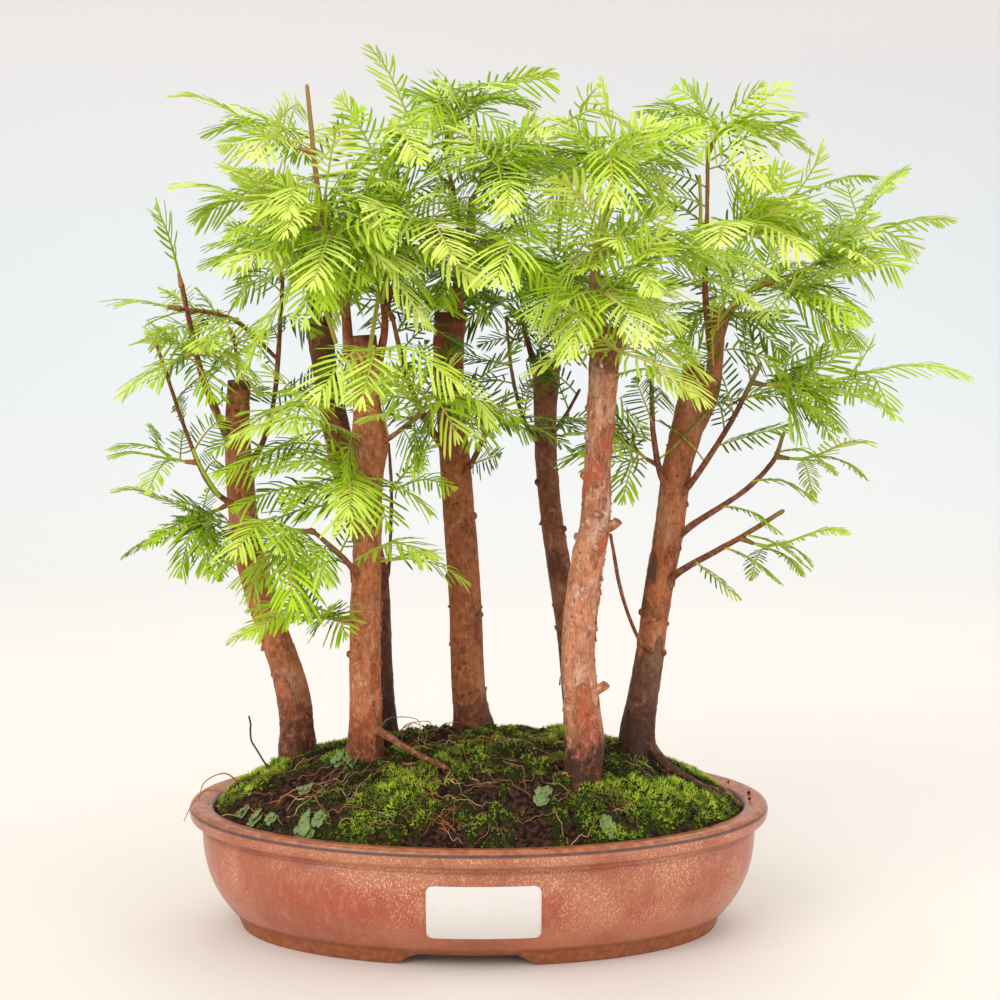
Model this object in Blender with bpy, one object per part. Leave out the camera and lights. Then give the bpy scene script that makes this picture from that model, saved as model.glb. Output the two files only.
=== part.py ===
"""A dawn redwood forest: seven trunks on a moss mound in a glazed oval tray, with leafy sprays."""

import math
import random

import bmesh
import bpy
import numpy as np
from mathutils.bvhtree import BVHTree

# Driving sizes. The scene is in metres, and lengths are written in millimetres times MM.
MM = 0.001
SEED = 11

# The part stands on z = 0 with the middle of its outline over the origin, and the crown
# reaches further to the right than the tray does, so the tray stands left of the origin.
TRAY_PLACE = np.array([-25.0, 0.0, 0.0])

TRAY_LENGTH = 272.0
TRAY_DEPTH = 170.0
TRAY_HEIGHT = 60.0
TRAY_FLOOR = 13.0
TRAY_SIDES = 28
FOOT_HEIGHT = 7.0
FOOT_GAP_MIDDLE = -5.0
FOOT_GAP_HALF = (32.0, 22.0)
FOOT_GAP_HEIGHT = 5.0
DRAIN_DIAMETER = 16.0
DRAIN_SIDES = 8
CUT_SPARE = 3.0
DRAIN_PLACES = ((-52.0, 0.0), (52.0, 0.0))
SCREEN_SIDE = 24.0
SCREEN_THICKNESS = 0.8
SCREEN_HOLE = 5.0
SCREEN_HOLE_STEP = 3.4
FIT = 0.4
SHARP_ANGLE = 40.0

SOIL_LEVEL = 56.5
MOUND_RISE = 32.5
MOUND_POWER = 2.2
HOLE_STATIONS = 3
HOLE_SPARE = 0.9

WIRE_DIAMETER = 1.3
WIRE_POINTS = 7
WIRE_SIDES = 6
WIRE_PATH = ((-92, 6, 60), (-97, 7, 68), (-103, 9, 77), (-107, 10, 85), (-107.5, 10, 90), (-108, 10, 96.5))

LABEL_ROWS = (16.0, 20.0, 31.0, 42.0, 43.5)
LABEL_STATIONS = (20.2, 21.0, 22.0)
LABEL_GAP = 0.4
LABEL_THICKNESS = 0.6
LABEL_LEAN = -0.004

TRUNK_SIDES = 8
LIMB_SIDES = 5
THIN_LIMB_SIDES = 4
THIN_LIMB = 5.0
SPUR_SIDES = 3
KNOB_HEIGHT = 2.2
KNOB_RISE = 0.25
KNOB_DIAMETERS = (5.4, 2.8)
SPUR_LENGTH = 5.0
SPUR_DIAMETERS = (3.5, 2.9)
STEM_DIAMETER = 2.6

FROND_LENGTH = 45.0
LEAF_PAIR_STEP = 9.6
LEAF_LENGTH = 17.5
RIB_WIDTH = 1.6
RIB_TIP_WIDTH = 0.9
RIB_DEPTH_SHARE = 0.87
STALK = 7.0
STEM_STEP = 24.0
SPUR_GAP = 0.3
BARE_SHARE = 0.22
FORK_SINK = 0.35
FIRST_ROW = 7.5
SECOND_ROW = 34.0
SIDE_PLACES = np.array([0.65, 0.3])
SIDE_SHARES = (0.72, 0.9)
SIDE_ANGLES = (46.0, 62.0)
SIDE_LIFT = 6.0
MOST_ROLL = 15.0
LEAN_AT_FOOT = 64.0
LEAN_AT_TIP = 34.0
LEAF_DROOP = 0.22
FROND_DROOP = 0.45
FIRST_STRETCH_FACES = 4
AXIS_POINTS = 25
AXIS_RISE = 0.16

# The turns, lifts (degrees) and scales that a leading frond and a side frond try in order.
LEADER_TRIES = (
    (0, 0, 1), (6, 0, 1), (-6, 0, 1), (0, 6, 1), (0, -6, 1), (12, 0, 1), (-12, 0, 1), (0, 12, 0.95),
    (0, -12, 0.95), (18, 6, 0.9), (-18, 6, 0.9), (18, -6, 0.9), (-18, -6, 0.9), (0, 0, 0.8),
    (12, 12, 0.8), (-12, 12, 0.8), (0, 0, 0.65),
)
LATERAL_TRIES = (
    (0, 0, 1), (10, 0, 1), (-10, 0, 1), (0, 14, 1), (0, -14, 1), (20, 8, 0.9), (-18, 8, 0.9),
    (20, -10, 0.9), (-18, -10, 0.9), (0, 28, 0.9), (0, -28, 0.9), (32, 0, 0.85), (0, 0, 0.75),
    (20, 30, 0.85), (-18, 30, 0.85), (20, -30, 0.85), (-18, -30, 0.85), (45, 10, 0.8), (45, -20, 0.8),
    (10, 45, 0.8), (30, 45, 0.75), (10, -45, 0.75),
)

# How far inside the rim's outline each level of the tray's wall lies, from the underside
# out over the lip and down to the floor inside: (inset, height).
TRAY_PROFILE = (
    (22.0, FOOT_HEIGHT),
    (19.0, 8.5),
    (11.5, 20.0),
    (7.5, 31.0),
    (6.0, 42.0),
    (6.2, 48.5),
    (0.8, 53.0),
    (0.0, 57.0),
    (2.6, TRAY_HEIGHT),
    (10.5, 58.6),
    (12.0, 55.0),
    (14.0, 30.0),
    (22.0, TRAY_FLOOR),
)

# The ring of the foot in the same way, from its outer lower edge round to its inner one. Its top
# is sunk into the underside of the wall.
FOOT_PROFILE = ((23.5, 0.0), (20.5, 9.5), (30.0, 9.5), (30.0, 0.0))

# Each tree: its trunk as points (x, y, z, diameter) from below the soil to the cut top, its
# limbs in the same way, and the heights and bearings of the pruned knobs on its bark.
TREES = {
    "far_left": {
        "colour": (0.23, 0.085, 0.045),
        "trunk": (
            (-86, 22, 52, 15), (-88, 23, 74, 18), (-88, 24, 88, 16.4), (-90, 24, 107, 15.6),
            (-98, 24, 133, 14), (-105, 24, 155, 14.6), (-110, 24, 175, 13.8), (-113, 24, 205, 13),
            (-114, 24, 235, 11.6), (-113, 24, 255, 10.6),
        ),
        "limbs": {
            "a1": (
                (-114, 22, 220, 7), (-119, 19, 231, 6), (-129, 14, 259, 5), (-134, 11, 285, 4),
                (-137, 10, 301, 3),
            ),
            "a2": ((-112, 20, 194, 5), (-125, 12, 206, 3.8), (-135, 8, 230, 3), (-148, 4, 273, 2.4)),
            "a3": ((-112, 28, 212, 5), (-103, 33, 226, 4.2), (-97, 35, 252, 3.6), (-93, 36, 303, 3)),
            "a4": ((-95.5, 35.5, 264, 3), (-110, 20, 281, 3), (-121, 12, 287, 2.8), (-138, 4, 290, 2.6)),
            "a5": ((-113, 24, 252, 3), (-114, 25, 266, 2.6), (-116, 27, 277, 2.4)),
        },
        "knobs": ((142, 200), (186, 10)),
    },
    "front_left": {
        "colour": (0.36, 0.13, 0.065),
        "trunk": (
            (-52, -15, 58, 15), (-52, -15, 80, 16.5), (-52, -15, 96, 15), (-52, -15, 147, 14.7),
            (-51, -15, 176, 13.4), (-50, -15, 212, 13.4), (-49, -15, 230, 16.6), (-50, -15, 247, 12.6),
            (-52, -15, 278, 12.3),
        ),
        "limbs": {
            "b1": (
                (-58, -15, 268, 7.5), (-60, -15, 296, 6), (-64, -17, 318, 4.6), (-70, -19, 337, 4),
                (-75, -21, 388, 2.6),
            ),
            "b2": ((-46, -14, 262, 6.4), (-42, -13, 282, 5), (-44, -13, 300, 4), (-51, -17, 316, 3)),
            "b2b": ((-42, -13, 288, 4), (-37, -13, 304, 3.2), (-34, -15, 318, 2.8)),
            "b2c": ((-42, -12, 286, 4), (-41, -8, 304, 3.2), (-40, -5, 326, 2.6)),
            "b3a": ((-46, -17, 229, 5), (-38, -23, 234, 3.8), (-27, -31, 243, 3)),
            "b3b": ((-52, -18, 227, 5), (-60, -27, 236, 3.8), (-66, -32, 247, 3)),
            "b4": ((-53, -18, 166, 5.4), (-60, -26, 178, 4), (-74, -36, 193, 3)),
            "b5": ((-53, -17, 146, 6), (-61, -23, 150, 4)),
            "root": ((-48, -18, 98, 8), (-40, -25, 95, 5.6), (-28, -33, 90, 4.6), (-14, -41, 85.5, 3.6)),
        },
        "knobs": ((131, 200), (198, 20), (112, 330)),
    },
    "hidden_left": {
        "colour": (0.20, 0.08, 0.045),
        "trunk": (
            (-47, 40, 55, 13), (-48, 40, 76, 15), (-49, 40, 112, 13.5), (-51, 40, 158, 13.4),
            (-60, 40, 195, 13), (-68, 40, 227, 13.4), (-74, 41, 260, 12), (-77, 42, 284, 11),
        ),
        "limbs": {
            "c1": ((-77, 42, 278, 7), (-82, 47, 300, 4.4), (-84, 51, 318, 3)),
            "c2": ((-76, 42, 274, 6), (-68, 49, 300, 4), (-64, 53, 320, 2.8)),
            "c3": ((-50, 38, 148, 4), (-44, 33, 162, 2.8), (-42, 32, 198, 2.4), (-43, 32, 224, 2)),
        },
        "knobs": (),
    },
    "centre_back": {
        "colour": (0.24, 0.09, 0.05),
        "trunk": (
            (-2, 18, 66, 16), (-3, 18, 87, 20), (-4, 18, 97, 17), (-5.5, 18, 113, 15.8),
            (-7, 18, 156, 15.2), (-10, 18, 201, 14.4), (-13, 18, 245, 13.2), (-14, 18, 270, 13.5),
            (-13, 18, 287, 15),
        ),
        "limbs": {
            "d1": ((-13, 16, 220, 7), (-22, 14, 233, 5), (-32, 13, 254, 4.4), (-40, 12, 286, 3.2)),
            "d2": ((-8, 14, 210, 5), (-2, 10, 220, 4), (3, 8, 232, 3.2)),
            "d3": ((-12, 18, 276, 9), (-9, 18, 300, 7), (-4, 18, 322, 5), (-3, 18, 340, 3.4)),
            "d4": ((-6, 18, 314, 5), (-11, 17, 340, 3.4), (-16, 16, 364, 2.6)),
        },
        "knobs": ((142, 20), (161, 170), (190, 15), (205, 185), (127, 260)),
    },
    "back_right": {
        "colour": (0.19, 0.075, 0.045),
        "trunk": (
            (50, 48, 48, 11), (49, 48, 70, 13), (46, 49, 100, 11.6), (43, 50, 134, 11.4),
            (39.5, 50, 158, 11.3), (36, 50, 182, 10.9), (33, 50, 206, 10.7), (32, 50, 232, 10.4),
            (32.5, 50, 252, 12.4), (32.5, 50, 264, 13),
        ),
        "limbs": {
            "e1": ((31, 50, 254, 7), (25, 50, 267, 4.6), (20, 50, 286, 3)),
            "e2": ((33, 50, 256, 7), (38, 51, 266, 5), (37, 52, 282, 3)),
            "e3": ((34, 50, 258, 6), (42, 50, 268, 4), (48, 52, 280, 2.8)),
            "e4": ((32, 47, 218, 4.6), (22, 45, 234, 3), (16, 44, 256, 2.6), (13, 44, 284, 2.2)),
            "e5": ((34, 47, 226, 4), (41, 45, 236, 2.8), (48, 43, 249, 2.2)),
        },
        "knobs": ((180, 330), (203, 200)),
    },
    "front_right": {
        "colour": (0.46, 0.17, 0.08),
        "trunk": (
            (46, -35, 52, 13), (46.5, -35, 76, 15), (48, -35, 95, 18), (47, -35, 112, 16),
            (45, -35, 134, 14.6), (46.5, -35, 158, 14.6), (49.5, -35, 180, 14.2), (52.5, -35, 197, 13.4),
            (53.5, -35, 226, 12.4), (56, -35, 262, 13.2), (57, -35, 283, 15.5),
        ),
        "limbs": {
            "f1": ((55, -35, 274, 9), (52, -35, 294, 7), (52, -35, 308, 5), (58, -35, 338, 3)),
            "f2": ((54, -36, 192, 6), (61, -38, 196, 4.6), (65, -39, 199, 4)),
            "f3": ((49, -36, 118, 6), (56, -38, 122, 4.2), (60, -39, 127, 3)),
        },
        "knobs": ((163, 340), (216, 190), (246, 200), (188, 165)),
    },
    "far_right": {
        "colour": (0.22, 0.08, 0.045),
        "trunk": (
            (73, 3, 54, 15), (74.5, 3, 76, 20), (75, 3, 92, 16.4), (78, 3, 112, 14),
            (80.5, 3, 130, 13), (84, 3, 158, 13.4), (88, 3, 182, 13.4), (92, 3, 216, 13),
            (96, 3, 234, 14), (98, 3, 250, 11.6), (98.7, 3, 264, 10),
        ),
        "limbs": {
            "g0": ((96, 3, 228, 9), (104, 3, 242, 8.6), (108, 3, 256, 8.4), (111, 3, 290, 6)),
            "gup": ((108, 3, 264, 6), (104, 2, 296, 4.4), (104, 0, 330, 3.4), (104, -2, 362, 2.6)),
            "gup2": ((110, 3, 272, 6), (117, 1, 292, 4.2), (130, -2, 301, 3.4), (145, -5, 306, 2.8)),
            "g1": ((90, 0, 206, 5.4), (84, -4, 214, 4.4), (80, -6, 235, 3.6), (79, -7, 262, 3)),
            "g2": ((92, 0, 202, 6), (100, -4, 213, 4.6), (115, -8, 238, 3.6), (128, -10, 265, 3)),
            "g3": (
                (88, 1, 178, 6), (98, 0, 189, 4.8), (122, -3, 206, 3.8), (135, -5, 220, 3.2),
                (140, -5, 233, 2.6),
            ),
            "g4": ((85, 0, 160, 6), (95, -4, 170, 4.8), (118, -9, 184, 3.8), (139, -12, 198, 3.2)),
            "g5": ((81, -2, 130, 4), (74, -6, 138, 2.8), (66, -7, 160, 2.4), (61, -7, 186, 2)),
            "root": ((79, -1, 88, 10), (87, -7, 78.5, 8), (98, -12, 72.5, 5.6), (109, -17, 66.5, 4)),
        },
        "knobs": ((128, 350), (147, 190), (198, 340)),
    },
}

# Each spray: its tree, the limb it stands on (or the trunk), how far up that limb, and the
# points that the tips of its leading fronds reach.
SPRAYS = (
    ("far_left", "a1", 1.0, ((-145, 0, 333), (-137, 34, 346), (-156, 10, 318))),
    ("far_left", "a4", 1.0, ((-160, -8, 293),)),
    ("far_left", "a1", 0.6, ((-159, -20, 253), (-113, -60, 277))),
    ("far_left", "a2", 0.5, ((-166, -10, 223), (-160, 50, 231), (-150, -35, 240))),
    ("far_left", "a2", 0.12, ((-167, 0, 206), (-142, -30, 187))),
    ("far_left", "trunk", 0.70, ((-116, -50, 178), (-150, 70, 183))),
    ("far_left", "a3", 1.0, ((-112, 70, 338), (-128, 45, 318), (-88, 10, 330))),
    ("far_left", "a5", 1.0, ((-144, 80, 277),)),
    ("front_left", "b1", 0.86, ((-128, -38, 383), (-84, 40, 384), (-102, -72, 372))),
    ("front_left", "b1", 0.60, ((-129, -30, 345), (-109, 50, 354), (-108, -62, 350))),
    ("front_left", "b1", 0.50, ((-103, -72, 310),)),
    ("front_left", "b1", 0.68, ((-77, -95, 325), (-58, -70, 367))),
    ("front_left", "b2b", 1.0, ((-10, -85, 315), (-21, -58, 340), (8, -30, 318))),
    ("front_left", "b2c", 1.0, ((-59, -15, 381), (-37, 32, 377), (-25, -25, 372))),
    ("front_left", "b2", 1.0, ((-112, -60, 277), (-66, -92, 297), (-38, -88, 292))),
    ("front_left", "b3a", 1.0, ((-39, -95, 264), (-4, -68, 250))),
    ("front_left", "b3b", 1.0, ((-105, -50, 236), (-112, -75, 224), (-84, -85, 245))),
    ("front_left", "trunk", 0.66, ((-53, -88, 209),)),
    ("front_left", "b4", 1.0, ((-112, -62, 186), (-77, -70, 163))),
    ("front_left", "b5", 1.0, ((-107, -45, 146),)),
    ("front_left", "trunk", 0.50, ((-21, -55, 184),)),
    ("hidden_left", "c1", 1.0, ((-120, 95, 301), (-104, 85, 341))),
    ("hidden_left", "c2", 1.0, ((-50, 95, 326), (-76, 102, 280))),
    ("centre_back", "d4", 1.0, ((31, -5, 395), (-4, 50, 389), (8, -48, 386))),
    ("centre_back", "d4", 0.6, ((-46, -12, 404),)),
    ("centre_back", "d3", 1.0, ((13, -85, 331), (34, -60, 359), (28, 60, 350))),
    ("centre_back", "d3", 0.7, ((17, -75, 304), (-21, -50, 319))),
    ("centre_back", "d3", 0.5, ((-25, 100, 311), (21, 95, 326))),
    ("centre_back", "d1", 1.0, ((-63, 60, 307),)),
    ("centre_back", "trunk", 0.78, ((0, -45, 239),)),
    ("centre_back", "d2", 1.0, ((39, -5, 232),)),
    ("back_right", "e1", 1.0, ((-5, 95, 291), (15, 20, 256))),
    ("back_right", "e2", 1.0, ((46, 100, 341), (77, 104, 316), (52, 22, 322))),
    ("back_right", "e3", 1.0, ((91, 95, 276), (84, 40, 290))),
    ("front_right", "f1", 1.0, ((55, -30, 387), (76, 42, 368), (92, -62, 366), (34, -58, 372))),
    ("front_right", "f1", 0.75, ((120, -87, 308), (34, -82, 346), (82, -88, 330))),
    ("front_right", "f1", 0.5, ((68, -105, 282), (38, -100, 287))),
    ("front_right", "trunk", 0.97, ((98, -85, 266), (24, -67, 266))),
    ("far_right", "gup", 1.0, ((138, -25, 376), (95, 42, 372), (120, -58, 352))),
    ("far_right", "gup", 0.6, ((182, 25, 350), (91, -92, 321), (140, -62, 330))),
    ("far_right", "gup2", 1.0, ((212, 0, 330), (206, 40, 352), (184, -28, 348))),
    ("far_right", "gup2", 0.7, ((183, -32, 310), (166, -52, 287))),
    ("far_right", "g0", 0.9, ((161, 90, 309), (112, 100, 316))),
    ("far_right", "g2", 0.9, ((217, -20, 262), (182, -42, 246), (172, 18, 272))),
    ("far_right", "g3", 0.8, ((172, -40, 232), (168, 22, 216))),
    ("far_right", "g4", 0.7, ((163, -38, 192), (156, 25, 172))),
    ("far_right", "g1", 0.4, ((59, -27, 229), (77, 42, 235))),
)

# Leaves at the front and at the top are lighter than those inside the crown.
FRONT_LEAVES_Y = -40.0
TOP_LEAVES_Z = 280.0
GREENS = {"front": (0.36, 0.58, 0.05), "top": (0.30, 0.52, 0.04), "inner": (0.24, 0.45, 0.04)}
UP = np.array([0.0, 0.0, 1.0])


def clear_scene():
    """Removes the objects that the scene starts with."""
    for thing in list(bpy.data.objects):
        bpy.data.objects.remove(thing, do_unlink=True)


def finish(name, colour, roughness, metallic=0.0):
    """A plain material with the piece's colour."""
    made = bpy.data.materials.new(name)
    made.use_nodes = True
    shader = made.node_tree.nodes["Principled BSDF"]
    shader.inputs["Base Color"].default_value = (*colour, 1.0)
    shader.inputs["Roughness"].default_value = roughness
    shader.inputs["Metallic"].default_value = metallic
    return made


def unit(v):
    return v / np.linalg.norm(v)


def across(forward, near=UP):
    """The unit vector square to forward that lies nearest to another direction."""
    side = near - forward * np.dot(near, forward)
    if np.linalg.norm(side) < 0.05:
        side = np.array([0.0, 1.0, 0.0]) - forward * forward[1]
    return unit(side)


def smooth(points, count):
    """Points on the Catmull-Rom curve through the given ones, as many as count, evenly spread."""
    p = np.asarray(points, float)
    ends = np.vstack([2 * p[0] - p[1], p, 2 * p[-1] - p[-2]])
    t = np.linspace(0, len(p) - 1, count)
    i = np.minimum(t.astype(int), len(p) - 2)
    u = (t - i)[:, None]
    a, b, c, d = ends[i], ends[i + 1], ends[i + 2], ends[i + 3]
    return 0.5 * (2 * b + (c - a) * u + (2 * a - 5 * b + 4 * c - d) * u**2 + (3 * b - a - 3 * c + d) * u**3)


def tangents(path):
    ahead = np.gradient(path, axis=0)
    return ahead / np.linalg.norm(ahead, axis=1)[:, None]


def tube(path, diameters, sides, near=UP):
    """A closed round bar along a path: rings of points square to it, with flat ends."""
    path = np.asarray(path, float)
    forward = tangents(path)
    turn = np.linspace(0, 2 * math.pi, sides, endpoint=False)
    normal = across(forward[0], near)
    rings = []
    for place, ahead, diameter in zip(path, forward, diameters):
        normal = across(ahead, normal)
        side = np.cross(ahead, normal)
        ring = np.outer(np.cos(turn), normal) + np.outer(np.sin(turn), side)
        rings.append(place + ring * diameter / 2)
    faces = []
    for i in range(len(path) - 1):
        low, high = i * sides, (i + 1) * sides
        for j in range(sides):
            k = (j + 1) % sides
            faces.append((low + j, low + k, high + k, high + j))
    last = (len(path) - 1) * sides
    faces.append(tuple(range(sides))[::-1])
    faces.append(tuple(range(last, last + sides)))
    return np.vstack(rings), faces


def put(name, points, faces, material=None, collection=None):
    """A mesh object from points in millimetres about the tray's middle."""
    mesh = bpy.data.meshes.new(name)
    mesh.from_pydata((points + TRAY_PLACE) * MM, [], faces)
    made = bmesh.new()
    made.from_mesh(mesh)
    bmesh.ops.recalc_face_normals(made, faces=made.faces)
    made.to_mesh(mesh)
    made.free()
    thing = bpy.data.objects.new(name, mesh)
    (collection or bpy.context.scene.collection).objects.link(thing)
    if material:
        mesh.materials.append(material)
    return thing


def apply_modifiers(thing):
    """Gives the object the mesh that its modifiers make."""
    graph = bpy.context.evaluated_depsgraph_get()
    made = bpy.data.meshes.new_from_object(thing.evaluated_get(graph))
    thing.modifiers.clear()
    thing.data = made


def join(name, solids, material, cutters=()):
    """One body: the first solid with the others united to it, less the cutters."""
    thing = put(name, *solids[0], material)
    for operation, group in (("UNION", solids[1:]), ("DIFFERENCE", cutters)):
        if not group:
            continue
        helpers = bpy.data.collections.new(name + "_" + operation.lower())
        bpy.context.scene.collection.children.link(helpers)
        for number, (points, faces) in enumerate(group):
            put(f"{name}_{operation.lower()}_{number}", points, faces, None, helpers)
        step = thing.modifiers.new(operation.title(), "BOOLEAN")
        step.operation = operation
        step.operand_type = "COLLECTION"
        step.collection = helpers
        step.solver = "EXACT"
        apply_modifiers(thing)
        for helper in list(helpers.objects):
            bpy.data.objects.remove(helper, do_unlink=True)
        bpy.data.collections.remove(helpers)
    thing.data.shade_smooth()
    thing.data.set_sharp_from_angle(angle=math.radians(SHARP_ANGLE))


def oval(inset, height):
    """The tray's outline moved in by inset, as one ring of points."""
    turn = np.linspace(0, 2 * math.pi, TRAY_SIDES, endpoint=False)
    a, b = TRAY_LENGTH / 2 - inset, TRAY_DEPTH / 2 - inset
    return np.column_stack([a * np.cos(turn), b * np.sin(turn), np.full(TRAY_SIDES, height)])


def lofted(rings):
    """A closed solid through rings that all have the same number of points."""
    sides = len(rings[0])
    faces = []
    for i in range(len(rings) - 1):
        for j in range(sides):
            k = (j + 1) % sides
            faces.append((i * sides + j, i * sides + k, (i + 1) * sides + k, (i + 1) * sides + j))
    last = (len(rings) - 1) * sides
    faces.append(tuple(range(sides))[::-1])
    faces.append(tuple(range(last, last + sides)))
    return np.vstack(rings), faces


def block(outline, y_low, y_high):
    """An outline in the XZ plane carried along Y."""
    count = len(outline)
    front = [(x, y_low, z) for x, z in outline]
    back = [(x, y_high, z) for x, z in outline]
    faces = [tuple(range(count))[::-1], tuple(range(count, 2 * count))]
    for j in range(count):
        k = (j + 1) % count
        faces.append((j, k, count + k, count + j))
    return np.array(front + back, float), faces


def upright(x, y, z_low, z_high, diameter, sides):
    """A vertical round bar."""
    return tube([(x, y, z_low), (x, y, z_high)], (diameter, diameter), sides, np.array([1.0, 0.0, 0.0]))


def make_tray():
    """The tray's wall and floor turned about an oval, on a foot ring with two gaps."""
    body = lofted([oval(inset, height) for inset, height in TRAY_PROFILE])
    foot_points, foot_faces = lofted([oval(inset, height) for inset, height in FOOT_PROFILE])
    foot_faces = foot_faces[:-2]
    for j in range(TRAY_SIDES):
        k = (j + 1) % TRAY_SIDES
        foot_faces.append((3 * TRAY_SIDES + j, 3 * TRAY_SIDES + k, k, j))
    low, high = FOOT_GAP_HALF
    gap = [
        (FOOT_GAP_MIDDLE - low, -CUT_SPARE),
        (FOOT_GAP_MIDDLE + low, -CUT_SPARE),
        (FOOT_GAP_MIDDLE + high, FOOT_GAP_HEIGHT),
        (FOOT_GAP_MIDDLE - high, FOOT_GAP_HEIGHT),
    ]
    inner = TRAY_DEPTH / 4
    cutters = [block(gap, -TRAY_DEPTH, -inner), block(gap, inner, TRAY_DEPTH)]
    for x, y in DRAIN_PLACES:
        low, high = FOOT_HEIGHT - CUT_SPARE, TRAY_FLOOR + CUT_SPARE
        cutters.append(upright(x, y, low, high, DRAIN_DIAMETER, DRAIN_SIDES))
    join("tray", [body, (foot_points, foot_faces)], finish("glaze", (0.33, 0.12, 0.08), 0.3), cutters)


def mound(x, y):
    """How high the soil stands at a place: a flat-topped mound with low bumps."""
    a, b = TRAY_LENGTH / 2 - 12.0, TRAY_DEPTH / 2 - 12.0
    out = np.minimum(np.hypot(x / a, y / b), 1.0)
    bumps = 1.4 * np.sin(x / 9.0 + 1.3) * np.cos(y / 11.0) + 0.9 * np.sin(x / 23.0 - y / 15.0)
    return SOIL_LEVEL + MOUND_RISE * (1 - out**MOUND_POWER) + bumps * (1 - out**4)


def wall_inset(height):
    """How far inside the rim's outline the tray's inner wall lies at a height."""
    inner = TRAY_PROFILE[-4:]
    heights = [level for _, level in inner][::-1]
    insets = [inset for inset, _ in inner][::-1]
    return float(np.interp(height, heights, insets))


def make_soil():
    """The soil fills the tray to its walls and rises to a mound, with a hole for each trunk."""
    rings = [oval(wall_inset(z) + FIT, z) for z in (TRAY_FLOOR + FIT, 30.0, 55.0, SOIL_LEVEL)]
    outer = rings[-1]
    for share in (0.9, 0.7, 0.45, 0.2):
        ring = outer * (share, share, 1.0)
        ring[:, 2] = mound(ring[:, 0], ring[:, 1])
        rings.append(ring)
    cutters = []
    for tree in TREES:
        stations = limb_path(tree, "trunk")[:HOLE_STATIONS]
        stations[0, 2] -= HOLE_SPARE
        cutters.append(tube(stations[:, :3], stations[:, 3] + 2 * HOLE_SPARE, TRUNK_SIDES))
    wire = smooth(WIRE_PATH, WIRE_POINTS)
    wire[0] -= unit(wire[1] - wire[0])
    cutters.append(tube(wire, np.full(WIRE_POINTS, WIRE_DIAMETER + 3 * FIT), WIRE_SIDES))
    for x, y in DRAIN_PLACES:
        half = SCREEN_SIDE / 2 + FIT
        low, high = TRAY_FLOOR - CUT_SPARE, TRAY_FLOOR + 3 * FIT + SCREEN_THICKNESS
        pocket = [(x - half, low), (x + half, low), (x + half, high), (x - half, high)]
        cutters.append(block(pocket, y - half, y + half))
    join("soil_mound", [lofted(rings)], finish("moss_and_soil", (0.08, 0.14, 0.03), 0.95), cutters)


def make_wire():
    """The end of the wire that ties the roots down, standing out of the soil."""
    path = smooth(WIRE_PATH, WIRE_POINTS)
    wire = tube(path, np.full(WIRE_POINTS, WIRE_DIAMETER), WIRE_SIDES)
    join("anchor_wire", [wire], finish("wire", (0.02, 0.025, 0.03), 0.45))


def make_screens():
    """A plastic mesh square over each drainage hole, under the soil."""
    material = finish("mesh_plastic", (0.03, 0.03, 0.03), 0.6)
    for number, (x, y) in enumerate(DRAIN_PLACES, 1):
        low, high = TRAY_FLOOR + FIT, TRAY_FLOOR + FIT + SCREEN_THICKNESS
        half = SCREEN_SIDE / 2
        sheet = [(x - half, low), (x + half, low), (x + half, high), (x - half, high)]
        holes = [
            upright(x + dx, y + dy, low - CUT_SPARE, high + CUT_SPARE, SCREEN_HOLE, 4)
            for dx in (-SCREEN_HOLE_STEP, SCREEN_HOLE_STEP)
            for dy in (-SCREEN_HOLE_STEP, SCREEN_HOLE_STEP)
        ]
        join(f"drain_screen_{number}", [block(sheet, y - half, y + half)], material, holes)


def wall_point(station, height, stand_off):
    """A place on the tray's faceted outer wall, stood off along the outward normal."""
    outer = TRAY_PROFILE[1:6]
    inset = float(np.interp(height, [level for _, level in outer], [inset for inset, _ in outer]))
    ring = oval(inset, height)
    place = at_station(ring, station)
    a, b = TRAY_LENGTH / 2 - inset, TRAY_DEPTH / 2 - inset
    normal = unit(np.array([place[0] / a**2, place[1] / b**2, LABEL_LEAN]))
    return place + normal * stand_off


def at_station(ring, station):
    """A point on a ring at a fractional corner number, straight between the corners."""
    i = int(station)
    return ring[i] + (ring[i + 1] - ring[i]) * (station - i)


def make_label():
    """A blank paper label stuck on the front of the wall, following its facets."""
    points = []
    for stand_off in (LABEL_GAP, LABEL_GAP + LABEL_THICKNESS):
        for height in LABEL_ROWS:
            points += [wall_point(station, height, stand_off) for station in LABEL_STATIONS]
    wide, tall = len(LABEL_STATIONS), len(LABEL_ROWS)
    count = wide * tall
    faces = []
    for r in range(tall - 1):
        for c in range(wide - 1):
            a = r * wide + c
            faces.append((a, a + 1, a + wide + 1, a + wide))
            faces.append((count + a + wide, count + a + wide + 1, count + a + 1, count + a))
    edge = list(range(wide)) + [r * wide + wide - 1 for r in range(1, tall)]
    edge += [(tall - 1) * wide + c for c in range(wide - 2, -1, -1)]
    edge += [r * wide for r in range(tall - 2, 0, -1)]
    for a, b in zip(edge, edge[1:] + edge[:1]):
        faces.append((a, count + a, count + b, b))
    join("blank_label", [(np.array(points), faces)], finish("paper", (0.85, 0.84, 0.82), 0.5))


def limb_path(tree, limb):
    """A limb's stations (x, y, z, diameter); the trunk counts as a limb."""
    return np.array(TREES[tree]["trunk"] if limb == "trunk" else TREES[tree]["limbs"][limb], float)


def along(stations, share):
    """The station at a share of the way along, counted in stations."""
    place = share * (len(stations) - 1)
    i = min(int(place), len(stations) - 2)
    return stations[i] + (stations[i + 1] - stations[i]) * (place - i)


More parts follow.
